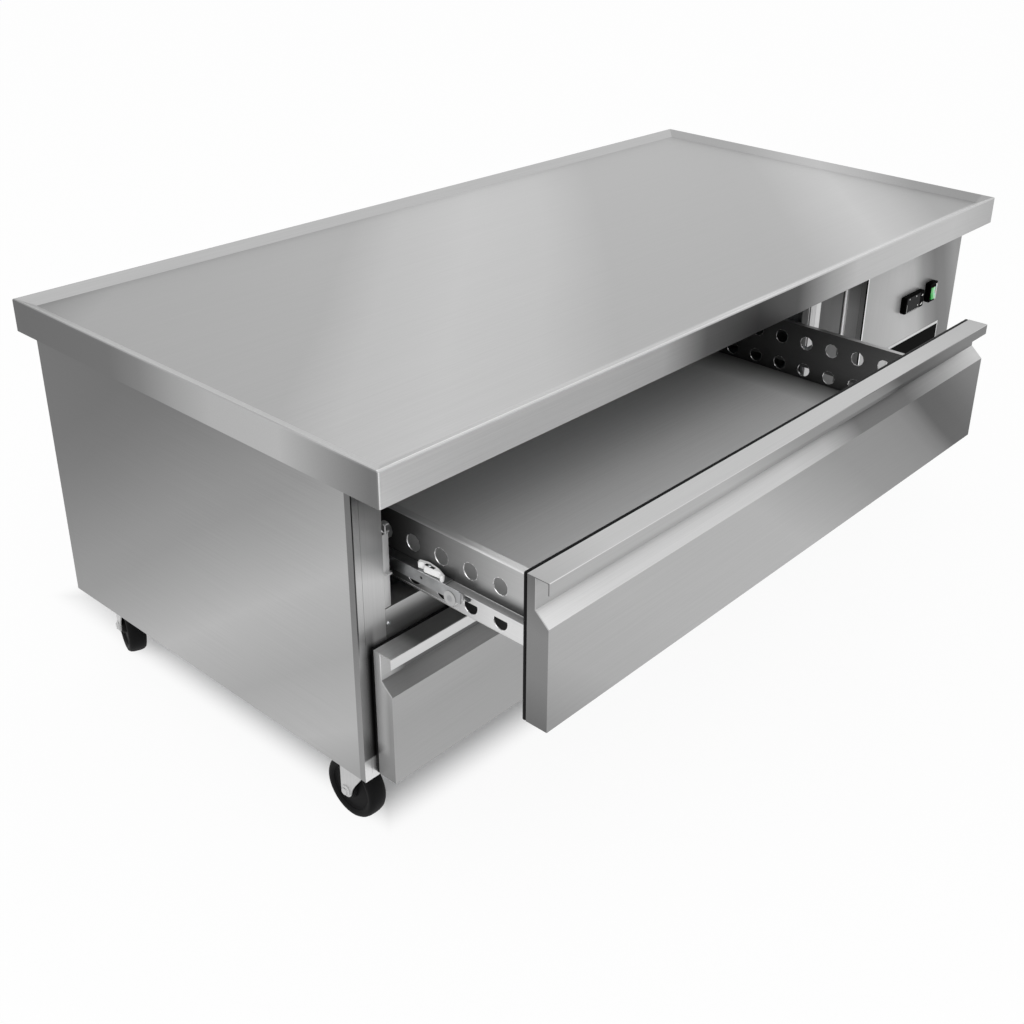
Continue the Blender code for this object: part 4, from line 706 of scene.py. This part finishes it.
RAIL_SHADE = (
    LEFTWARD, UP, [(0.451, 0x30), (0.458, 0x4E), (0.472, 0x8C)],
    (UP, 0.474, 0.460), (UP, 0.4510, 0.4518), (FORWARD, 0.27, 0.33),
)
# Painted light: the outer face darkens towards the drawer's front, and RAIL_SHADE paints a dark band just above
# the rail.
side_sheet = satin_steel(
    "satin stainless, drawer's left side", "Y", UP, [(0.15, 0xC0), (0.40, 0xC6), (0.52, 0xD2)],
    [
        (ACROSS, UP, [(0.15, 0x70), (0.52, 0x60)]),
        (LEFTWARD, FORWARD, [
            (0.20, 0x56), (0.26, 0x6A), (0.33, 0x86), (0.40, 0xAC), (0.46, 0xC2), (0.50, 0xC8),
        ]),
        RAIL_SHADE,
        (LEFTWARD, FORWARD, [
            (0.20, 0x64), (0.26, 0x94), (0.32, 0xC4), (0.38, 0xDC), (0.50, 0xE6),
        ], (UP, 0.4522, 0.4514)),
    ],
    contrast=0.04, roughness=0.36, metallic=0.75,
)
# The far side mirrors the dark cavity; the loose floor is duller, and shaded along both sides.
far_side_sheet = satin_steel(
    "satin stainless, drawer's right side", "Y", UP, [(0.15, 0xA8), (0.52, 0xBC)],
    [(LEFTWARD, FORWARD, [(0.10, 0x5E), (0.25, 0x68), (0.40, 0x78), (0.50, 0x80)])],
    contrast=0.04, roughness=0.36, metallic=1.0,
)
floor_sheet = satin_steel(
    "satin stainless, drawer floor", "X", ACROSS,
    [(-0.727, 0x24), (-0.700, 0x34), (-0.665, 0x9A), (-0.61, 0xDC), (0.12, 0xDC), (0.204, 0x5A)],
    contrast=0.04, roughness=0.4, metallic=0.2,
)
for drawer in ("upper", "lower"):
    dress(side_sheet, f"{drawer}_drawer_side_left", f"{drawer}_drawer_back")
    dress(far_side_sheet, f"{drawer}_drawer_side_right")
    dress(floor_sheet, f"{drawer}_drawer_floor")


def hoop(tree, given):
    """A round rim: a thin wire bent into a ring."""
    ring = add(tree, "GeometryNodeCurvePrimitiveCircle", {"Resolution": 32}, {"Radius": given["Radius"]})
    wire = add(tree, "GeometryNodeCurvePrimitiveCircle", {"Resolution": 6}, {"Radius": given["Wire"]})
    return add(
        tree, "GeometryNodeCurveToMesh",
        links={"Curve": ring.outputs["Curve"], "Profile Curve": wire.outputs["Curve"]},
    ).outputs["Mesh"]


def hex_head(tree, given):
    """A six-sided bolt head with a small chamfer."""
    crown = add(tree, "ShaderNodeMath", {"operation": "MULTIPLY", 1: 0.86}, {0: given["Radius"]})
    return add(
        tree, "GeometryNodeMeshCone", {"Vertices": 6},
        {"Radius Top": crown.outputs["Value"], "Radius Bottom": given["Radius"], "Depth": given["Height"]},
    ).outputs["Mesh"]


rims = lattice("pressed hole rims", hoop, ("Radius", "Wire"))
bolts = lattice("hex bolt heads", hex_head, ("Radius", "Height"))
rim_steel = satin_steel("polished stainless rim", "Y", UP, [(0.15, 0xE4), (0.52, 0xF0)], roughness=0.25)
TOWARDS_LEFT = (0, -math.pi / 2, 0)
BOX_FRONTS = {"upper": -0.49695, "lower": -0.23445}
LOW_HOLES = {"upper": 0.4275, "lower": 0.2013}
SIDE_FACES = {"left": -0.72925, "right": 0.20665}
FIRST_HOLE = 0.1042
HOLE_STEP = (0, 0.0505, 0)
HOLE_ROW_STEP = (0, 0, 0.0500)
for drawer, box_front in BOX_FRONTS.items():
    for side, x in SIDE_FACES.items():
        hole_rims = grown(
            rims, rim_steel, start=(x, box_front + FIRST_HOLE, LOW_HOLES[drawer]), columns=10,
            column_step=HOLE_STEP, rows=2, row_step=HOLE_ROW_STEP, turn=TOWARDS_LEFT,
            radius=0.0122, wire=0.0008,
        )
        piece(f"{drawer}_{side}_hole_rims", hole_rims, rim_steel, f"{drawer}_drawer")
rail_bolt = grown(
    bolts, dark_zinc_and_slot_shade, start=(-0.7315, -0.3400, 0.4380), **ALONE, turn=TOWARDS_LEFT,
    radius=0.0046, height=0.0021,
)
piece("rail_bolt", rail_bolt, dark_zinc_and_slot_shade, "upper_drawer")
# The rail's slot is a thin dark patch laid on the rail: painted shade.
rail_slot = block((-0.7317, -0.3500, 0.4400), (-0.7313, -0.3360, 0.4470))
piece("rail_slot", rail_slot, dark_zinc_and_slot_shade, "upper_drawer")

# Gaskets: black soft vinyl, extruded, mitred and welded into a ring, snapped into the front's back.
# The lip reaches to the front's edge, so it shows as a black line behind it.

def framed(low, high, band, edge):
    """A flat ring in the upright plane, between two corners, with its edges rounded."""
    bm = bmesh.new()
    loops = []
    for y in (low[1], high[1]):
        for inset in (0, band):
            x0, x1, z0, z1 = low[0] + inset, high[0] - inset, low[2] + inset, high[2] - inset
            loops.append([bm.verts.new((x, y, z)) for x, z in ((x0, z0), (x1, z0), (x1, z1), (x0, z1))])
    near_outer, near_inner, far_outer, far_inner = loops
    for one, other in (
        (near_outer, near_inner), (near_inner, far_inner), (far_inner, far_outer), (far_outer, near_outer),
    ):
        for i in range(4):
            j = (i + 1) % 4
            bm.faces.new((one[i], one[j], other[j], other[i]))
    bmesh.ops.recalc_face_normals(bm, faces=bm.faces)
    bmesh.ops.bevel(bm, geom=bm.edges[:], offset=edge, segments=2, profile=0.5, affect="EDGES")
    return mesh_of(bm)


gasket_rubber = moulded("black vinyl gasket", "#060607", 0.60, gloss=0.12)
GASKET_DEPTH = 0.0047
GASKET_BAND = 0.0175
GASKET_EDGE = 0.0009
GASKET_LEFT, GASKET_RIGHT = -0.7983, 0.2757
for drawer, low, high in (("upper", 0.3727, 0.5722), ("lower", 0.1465, 0.3460)):
    back = BOX_FRONTS[drawer]
    lip = framed((GASKET_LEFT, back, low), (GASKET_RIGHT, back + GASKET_DEPTH, high), GASKET_BAND, GASKET_EDGE)
    piece(f"{drawer}_gasket_lip", lip, gasket_rubber, f"{drawer}_drawer", [f"{drawer}_drawer_gasket"])

# Machine compartment: compressor, condenser and fans.
# Black enamelled shell and coil, grey glass-filled nylon fan blades.

black_enamel = moulded("black stove enamel", "#1B1B1D", 0.28, grain_scale=200, relief=0.05)
dress(black_enamel, "compressor", "condenser")
fan_nylon = moulded("grey glass-filled nylon", "#7A7C7E", 0.48)
dress(fan_nylon, "condenser_fan", "evaporator_fan")

# Control panel with thermostat and switch.
# The panel is the same satin sheet as the drawers, shaded across by the room.

# A thin strip along the panel's left edge is painted near white, a painted highlight; its left-looking return is
# painted near black, a painted shadow in the gap beside the recess.
panel_steel = satin_steel(
    "satin stainless, control panel", "Z", (1, 0, 0.4),
    [(0.62, 0xA5), (0.67, 0xAD), (0.76, 0xB8), (0.82, 0xB0), (0.86, 0x88), (0.91, 0x66), (0.95, 0x6C),
     (1.0, 0x8C)],
    [
        (LEFTWARD, UP, [(0.15, 0xC4), (0.47, 0xC4), (0.53, 0xA0), (0.62, 0x8A)]),
        (LEFTWARD, UP, [(0.15, 0x16), (0.62, 0x16)], (FORWARD, 0.2258, 0.2266)),
        (FORWARD, UP, [(0.15, 0xF0), (0.62, 0xF0)], (ACROSS, 0.4376, 0.4366)),
    ],
    veiled=(FORWARD, 0.35),
)
dress(panel_steel, "control_panel")
PANEL_LOWEST_SLOT, PANEL_SLOTS = 0.1764, 9
panel_hoods = grown(
    louvres, panel_steel, start=(SLOT_MIDDLE, FRAME_FACE - 0.0014, PANEL_LOWEST_SLOT), columns=2,
    column_step=BANK_STEP, rows=PANEL_SLOTS, row_step=SLOT_STEP, turn=(HOOD_LEAN, 0, 0),
    length=SLOT_LENGTH, reach=0.0062, gauge=HOOD_GAUGE,
)
piece("panel_louvres", panel_hoods, panel_steel, "cabinet")
# The ABS is matt and nearly black, the film on it a little lighter, and the ink a flat white.
black_abs = moulded("black ABS, fine texture", "#020202", 0.6, grain_scale=1500, gloss=0.02)
dress(black_abs, "thermostat", "switch_bezel", "cord_gland", "thermostat_key_upper", "thermostat_key_lower")
THERMOSTAT_FACE = -0.24155
FILM_LEFT, FILM_RIGHT, FILM_LOW, FILM_HIGH = 0.5830, 0.6368, 0.4318, 0.4622
FILM_GAUGE = 0.0003
face_film = moulded("dark grey printed film, mottled", "#232324", 0.5, grain_scale=1200, relief=0.3, gloss=0.05)
face_plate = block(
    (FILM_LEFT, THERMOSTAT_FACE - FILM_GAUGE, FILM_LOW), (FILM_RIGHT, THERMOSTAT_FACE, FILM_HIGH), 0.0001, 1,
)
piece("thermostat_film", face_plate, face_film, "cabinet")
white_ink = moulded("white screen-printed ink", "#E8E8E6", 0.6, relief=0.01)
# Plain marks only: three dots and a corner line on the film, and two short bars on each key.
MARK_FACE = THERMOSTAT_FACE - 0.0004
DOT_HALF = 0.0012
LINE_HALF = 0.0001
marks = [
    block(
        (x - DOT_HALF, MARK_FACE - 0.0003, z - DOT_HALF), (x + DOT_HALF, MARK_FACE + 0.0001, z + DOT_HALF),
        0.0003, 1,
    )
    for x, z in ((0.5916, 0.4592), (0.6193, 0.4592), (0.6290, 0.4385))
]
marks += [
    block((0.5838, MARK_FACE - LINE_HALF, low), (right, MARK_FACE + LINE_HALF, high))
    for right, low, high in ((0.5844, 0.4330, 0.4490), (0.6350, 0.4324, 0.4328))
]
piece("thermostat_marks", gathered(marks), white_ink, "cabinet")
KEY_FACE = -0.2424
for key, bars in (
    ("upper", ((0.6415, 0.6465, 0.4540, 0.4552), (0.6425, 0.6475, 0.4560, 0.4572))),
    ("lower", ((0.6385, 0.6470, 0.4362, 0.4380), (0.6430, 0.6480, 0.4390, 0.4402))),
):
    bars = [block((left, KEY_FACE, low), (right, KEY_FACE + 0.0003, high)) for left, right, low, high in bars]
    piece(f"{key}_key_mark", gathered(bars), white_ink, f"key_{key}")
# The lens lets light in; its colour pales to near white towards its raised end, a painted highlight.
green_lens = moulded(
    "green polycarbonate lens", "#1FA84A", 0.16, relief=0.01,
    settings={"Subsurface Weight": 0.3, "Subsurface Scale": 0.004, "Coat Weight": 0.4},
    tones=(ACROSS, [(0.683, "#18B03C"), (0.690, "#1FB848"), (0.693, "#8CD8A0"), (0.700, "#B4E2C0")]),
)
dress(green_lens, "switch_rocker")
# The switch's milky boot shows at its right edge, and its bezel has a brow above; both stand on the panel.
# Below the switch is a bare plate: a black field with a pale rolled edge.
clear_boot = moulded("clear silicone, milky", "#C9C9CB", 0.25, relief=0.01, settings={"Subsurface Weight": 0.3})
pale_edge = moulded("anodised aluminium plate edge", "#D6D6D6", 0.4, relief=0.02)
PANEL_STAND = -0.2294
GREY, BLACK = "grey_plastic", "black_plastic"
for name, low, high, edge, material, slot in (
    ("switch_boot_edge", (0.7046, -0.2405, 0.4300), (0.7120, PANEL_STAND, 0.4650), 0.0012, clear_boot, GREY),
    ("switch_bezel_brow", (0.6800, -0.2412, 0.4641), (0.7100, PANEL_STAND, 0.4690), 0.0008, black_abs, BLACK),
    ("bare_plate", (0.5520, -0.2301, 0.3220), (0.7630, -0.2292, 0.3668), 0.0003, pale_edge, GREY),
    ("bare_plate_field", (0.5562, -0.2303, 0.3262), (0.7598, -0.2300, 0.3614), 0, black_abs, BLACK),
):
    piece(name, block(low, high, edge), material, "cabinet")

# Worktop: one stainless sheet, pressed with a drip rim and folded down into skirts, corners welded and
# dressed. The deck takes the light in long soft fields; the rim and the skirts turn it brighter or darker.

# The front rim has tones of its own at its foot, on its slope and on its crest; the left one on its slope.
RIM_FOOT = (FORWARD, 0.2550, 0.2598)
RIM_SLOPE = (FORWARD, 0.2600, 0.2610)
RIM_CREST = (FORWARD, 0.2810, 0.2818)
LEFT_RIM_SLOPE = (LEFTWARD, 0.7950, 0.7960)
RIM_BACKWARD = (0, 0.447, 0.894)
RIM_RIGHTWARD = (0.447, 0, 0.894)
RIM_FORWARD = (0, -0.7, 0.7)
worktop_steel = satin_steel(
    "satin stainless, worktop", "X", (1, -1.08, 0),
    [(-1.31, 0x8C), (-1.20, 0xA0), (-0.95, 0xA4), (-0.72, 0xA8), (-0.60, 0xB8), (-0.42, 0xC0), (-0.22, 0xBB),
     (-0.06, 0xAB), (0.36, 0xA8), (0.46, 0xAA), (0.58, 0xB8), (0.68, 0xC1), (0.80, 0xB4), (0.92, 0x9E),
     (1.05, 0x98)],
    [
        (UP, ACROSS, [
            (-0.80, 0xB8), (-0.70, 0xBE), (-0.59, 0xC4), (-0.46, 0xCA), (-0.18, 0xC6), (-0.06, 0xE2),
            (0.06, 0xCA), (0.66, 0xCC), (0.82, 0xB4),
        ], RIM_FOOT),
        (RIM_BACKWARD, ACROSS, [
            (-0.80, 0xBB), (-0.71, 0xC6), (-0.59, 0xCE), (-0.33, 0xD0), (-0.13, 0xD7), (0.04, 0xDF),
            (0.41, 0xE0), (0.62, 0xD9),
        ], RIM_SLOPE),
        (UP, ACROSS, [
            (-0.70, 0xFF), (-0.56, 0xF2), (-0.33, 0xF0), (0.04, 0xE6), (0.21, 0xDA), (0.41, 0xC8), (0.82, 0xB8),
        ], RIM_CREST),
        (RIM_RIGHTWARD, FORWARD, [
            (-0.50, 0xB1), (-0.35, 0xC2), (-0.10, 0xC9), (0.27, 0xCB),
        ], LEFT_RIM_SLOPE),
        (FORWARD, ACROSS, [
            (-0.82, 0xEE), (-0.42, 0xF2), (-0.28, 0xEA), (-0.18, 0x84), (-0.04, 0x3C), (0.08, 0x3E),
            (0.18, 0x9C), (0.27, 0xBD), (0.64, 0xBC), (0.82, 0xA8),
        ]),
        (LEFTWARD, FORWARD, [
            (-0.50, 0x5A), (-0.27, 0x66), (-0.20, 0x7A), (-0.12, 0x9B), (-0.04, 0xAF), (0.10, 0xB5),
            (0.18, 0x98), (0.27, 0x70),
        ]),
        (RIM_FORWARD, (0, 1, 0), [(-0.30, 0xC6), (0.0, 0xC6), (0.15, 0xB9), (0.55, 0xB9)]),
    ],
    veiled=(FORWARD, 0.5),
)
dress(worktop_steel, "worktop")

# Casters: zinc-plated fork and plate, black rubber tread on a black core.
# The tread is moulded with rounded shoulders and carries a little floor dust.

caster_zinc = satin_steel(
    "zinc-plated caster", "Z", UP, [(0.03, 0xC6), (0.15, 0xBE)],
    contrast=0.08, roughness=0.4, metallic=0.6,
)
rubber_tread = moulded("black rubber tread", "#0B0B0C", 0.62, grain_scale=500, relief=0.12, gloss=0.12)
TRAIL = 0.033
AXLE = 0.049491
SIDE_X = 0.0193
LEG_HALF = 0.00125
CROWN_HALF = 0.0205
CROWN_LOW = 0.1354
# Profiles as (radius, place along the axle), and the fork's leg as (y, z).
tread_half = [
    (0.0360, 0.0118), (0.0385, 0.0140), (0.0425, 0.0148), (0.0458, 0.0138), (0.0480, 0.0110), (0.0491, 0.0065),
]
tread_profile = tread_half + [(0.0494, 0.0)] + [(r, -z) for r, z in reversed(tread_half)]
core_half = [
    (0.0053, 0.0168), (0.0125, 0.0168), (0.0140, 0.0150), (0.0150, 0.0105), (0.0340, 0.0095), (0.0362, 0.0112),
]
core_profile = core_half + [(r, -z) for r, z in reversed(core_half)]
nut_profile = [
    (0.0, 0.0), (0.0086, 0.0), (0.0086, 0.0012), (0.0070, 0.0022), (0.0060, 0.0026), (0.0056, 0.0040),
    (0.0, 0.0042),
]
race_profile = [(0.0, 0.1330), (0.0300, 0.1330), (0.0320, 0.1345), (0.0320, 0.1375), (0.0, 0.1375)]
axle_profile = [(0.0, -0.020), (0.0050, -0.020), (0.0050, 0.020), (0.0, 0.020)]
FORK_TOP = 0.1379
FORK_BACK, FORK_NOSE = -0.021, 0.044
LEG_TIP = 0.011
TIP_STEPS = 12
leg_outline = [(FORK_BACK, FORK_TOP), (FORK_NOSE, FORK_TOP), (FORK_NOSE, 0.0495)]
for step in range(1, TIP_STEPS):
    angle = -math.pi * step / TIP_STEPS
    leg_outline.append((TRAIL + LEG_TIP * math.cos(angle), AXLE + LEG_TIP * math.sin(angle)))
leg_outline += [
    (0.0220, 0.0495), (0.0190, 0.0580), (0.0130, 0.0680), (0.0050, 0.0790), (-0.0060, 0.0950),
    (FORK_BACK, 0.1140),
]


def plate_of(outline, x_low, x_high, edge=0.0004):
    """A sheet cut to an outline of (y, z) places, between two places along X."""
    bm = bmesh.new()
    near = [bm.verts.new((x_low, y, z)) for y, z in outline]
    far = [bm.verts.new((x_high, y, z)) for y, z in outline]
    bm.faces.new(near)
    bm.faces.new(far)
    for i in range(len(outline)):
        j = (i + 1) % len(outline)
        bm.faces.new((near[i], near[j], far[j], far[i]))
    bmesh.ops.recalc_face_normals(bm, faces=bm.faces)
    bmesh.ops.bevel(bm, geom=bm.edges[:], offset=edge, segments=1, profile=0.5, affect="EDGES")
    return mesh_of(bm)


for place, x, y, yaw in (
    ("front_left", -0.760, -0.17175, 0), ("front_right", 0.760, -0.17175, 10),
    ("back_left", -0.760, 0.42025, -20), ("back_right", 0.760, 0.42025, -12),
):
    seat = Matrix.Translation((x, y, 0)) @ Matrix.Rotation(math.radians(yaw), 4, "Z")
    hub = seat @ Matrix.Translation((0, TRAIL, AXLE))
    wheel = gathered([spun(tread_profile, 64, ALONG_X), spun(core_profile, 64, ALONG_X)])
    wheel.transform(hub)
    piece(f"{place}_tyre", wheel, rubber_tread, f"{place}_wheel", [f"{place}_caster_wheel"])
    parts = [plate_of(leg_outline, side * SIDE_X - LEG_HALF, side * SIDE_X + LEG_HALF) for side in (-1, 1)]
    parts.append(block((-CROWN_HALF, FORK_BACK, CROWN_LOW), (CROWN_HALF, FORK_NOSE, FORK_TOP), 0.0006))
    parts.append(spun(race_profile, 48))
    for side in (-1, 1):
        nut = spun(nut_profile, 32, Matrix.Rotation(side * math.pi / 2, 4, "Y"))
        nut.transform(Matrix.Translation((side * (SIDE_X + LEG_HALF), TRAIL, AXLE)))
        parts.append(nut)
    axle = spun(axle_profile, 24, ALONG_X)
    axle.transform(Matrix.Translation((0, TRAIL, AXLE)))
    parts.append(axle)
    fork = gathered(parts)
    fork.transform(seat)
    piece(f"{place}_fork_fine", fork, caster_zinc, f"{place}_swivel", [f"{place}_caster_fork"])
    dress(caster_zinc, f"{place}_caster_plate")

# The room: a pale seamless floor, a white surround and two soft lamps.
# The floor keeps the object's shadow, and shows nearly white.

FLOOR_HALF = 30
floor_mesh = bpy.data.meshes.new("floor")
corners = [(x * FLOOR_HALF, y * FLOOR_HALF, 0) for x, y in ((-1, -1), (1, -1), (1, 1), (-1, 1))]
floor_mesh.from_pydata(corners, [], [(0, 1, 2, 3)])
floor = placed("floor", floor_mesh)
floor_paint, floor_tree, floor_shader = finish_named(
    "matt white seamless paper", 0.0, 0.9, {"Base Color": linear(0xF8), "Specular IOR Level": 0.1},
)
paper_glow = add(floor_tree, "ShaderNodeEmission", {"Color": (1, 1, 1, 1), "Strength": 1.0})


def rays_that_see(tree):
    """1 for camera, glossy and transmission rays, which all see the white surround, 0 for the others."""
    path = add(tree, "ShaderNodeLightPath")
    mirrored = add(
        tree, "ShaderNodeMath",
        links={0: path.outputs["Is Glossy Ray"], 1: path.outputs["Is Transmission Ray"]},
    )
    seen = add(
        tree, "ShaderNodeMath", {"operation": "MAXIMUM"},
        {0: mirrored.outputs["Value"], 1: path.outputs["Is Camera Ray"]},
    )
    return seen.outputs["Value"]


# Under the cabinet the paper keeps its full shade, and glows to white away from it.
SHADE_MIDDLE_Y = 0.247
SHADE_ACROSS = (0.695, 0.770)
SHADE_ALONG = (0.373, 0.463)
SHADE_GLOW, OPEN_GLOW = 0.05, 0.93
paper_coordinates = add(floor_tree, "ShaderNodeTexCoord")
paper_place = add(floor_tree, "ShaderNodeSeparateXYZ", links={"Vector": paper_coordinates.outputs["Object"]})
from_middle = add(
    floor_tree, "ShaderNodeMath", {"operation": "ADD", 1: -SHADE_MIDDLE_Y}, {0: paper_place.outputs["Y"]},
)
clear = []
for place_along, (inside, outside) in (
    (paper_place.outputs["X"], SHADE_ACROSS), (from_middle.outputs["Value"], SHADE_ALONG),
):
    away = add(floor_tree, "ShaderNodeMath", {"operation": "ABSOLUTE"}, {0: place_along})
    clear.append(add(
        floor_tree, "ShaderNodeMapRange",
        {"interpolation_type": "SMOOTHSTEP", "From Min": inside, "From Max": outside},
        {"Value": away.outputs["Value"]},
    ).outputs["Result"])
clearest = add(floor_tree, "ShaderNodeMath", {"operation": "MAXIMUM"}, {0: clear[0], 1: clear[1]})
glow_level = add(
    floor_tree, "ShaderNodeMapRange", {"To Min": SHADE_GLOW, "To Max": OPEN_GLOW},
    {"Value": clearest.outputs["Value"]},
)
glow_share = add(
    floor_tree, "ShaderNodeMath", {"operation": "MULTIPLY"},
    {0: glow_level.outputs["Result"], 1: rays_that_see(floor_tree)},
)
paper = add(
    floor_tree, "ShaderNodeMixShader",
    links={0: glow_share.outputs["Value"], 1: floor_shader.outputs["BSDF"], 2: paper_glow.outputs["Emission"]},
)
floor_tree.links.new(paper.outputs["Shader"], floor_tree.nodes["Material Output"].inputs["Surface"])
floor_mesh.materials.append(floor_paint)

world = bpy.data.worlds.new("white surround")
bpy.context.scene.world = world
world.use_nodes = True
world_tree = world.node_tree
surround = world_tree.nodes["Background"]
seen = rays_that_see(world_tree)
LIGHT_GIVEN, WHITE_SEEN = 0.84, 1.0
strength = add(world_tree, "ShaderNodeMapRange", {"To Min": LIGHT_GIVEN, "To Max": WHITE_SEEN}, {"Value": seen})
surround.inputs["Color"].default_value = (1, 1, 1, 1)
world_tree.links.new(strength.outputs["Result"], surround.inputs["Strength"])

CABINET_MIDDLE = Vector((0, 0, 0.3))
for name, place, size, power in (
    ("key softbox", (-2.2, -2.8, 3.6), 3.2, 44),
    ("side softbox", (-4.2, 1.2, 2.6), 2.6, 16),
):
    lamp = bpy.data.lights.new(name, "AREA")
    lamp.shape = "SQUARE"
    lamp.size = size
    lamp.energy = power
    holder = placed(name, lamp)
    holder.location = place
    holder.rotation_euler = (CABINET_MIDDLE - Vector(place)).to_track_quat("-Z", "Y").to_euler()

# The camera, at the photograph's angle.
# A short tele lens from the left front, a little above, with the shift that its framing has.

azimuth, elevation, roll = -0.8788091148, 0.4618649060, 0.0308134475
CAMERA_PLACE = (-1.6981, -1.3121, 1.3274)
PHOTO_SIDE = 1024
FOCAL_PIXELS = 1315.016
CENTRE_PIXELS = (580.145, 449.184)
SENSOR = 36
backward = Vector((
    math.sin(azimuth) * math.cos(elevation), -math.cos(azimuth) * math.cos(elevation), math.sin(elevation),
))
level_right = Vector((math.cos(azimuth), math.sin(azimuth), 0))
level_up = backward.cross(level_right)
right = math.cos(roll) * level_right + math.sin(roll) * level_up
up = -math.sin(roll) * level_right + math.cos(roll) * level_up
camera_data = bpy.data.cameras.new("camera")
camera_data.sensor_width = SENSOR
camera_data.lens = FOCAL_PIXELS * SENSOR / PHOTO_SIDE
camera_data.shift_x = (PHOTO_SIDE / 2 - CENTRE_PIXELS[0]) / PHOTO_SIDE
camera_data.shift_y = (CENTRE_PIXELS[1] - PHOTO_SIDE / 2) / PHOTO_SIDE
camera_data.clip_end = 100
camera = placed("camera", camera_data)
turn = Matrix((right, up, backward)).transposed().to_4x4()
camera.matrix_world = Matrix.Translation(CAMERA_PLACE) @ turn
bpy.context.scene.camera = camera
bpy.context.scene.view_settings.view_transform = "Standard"
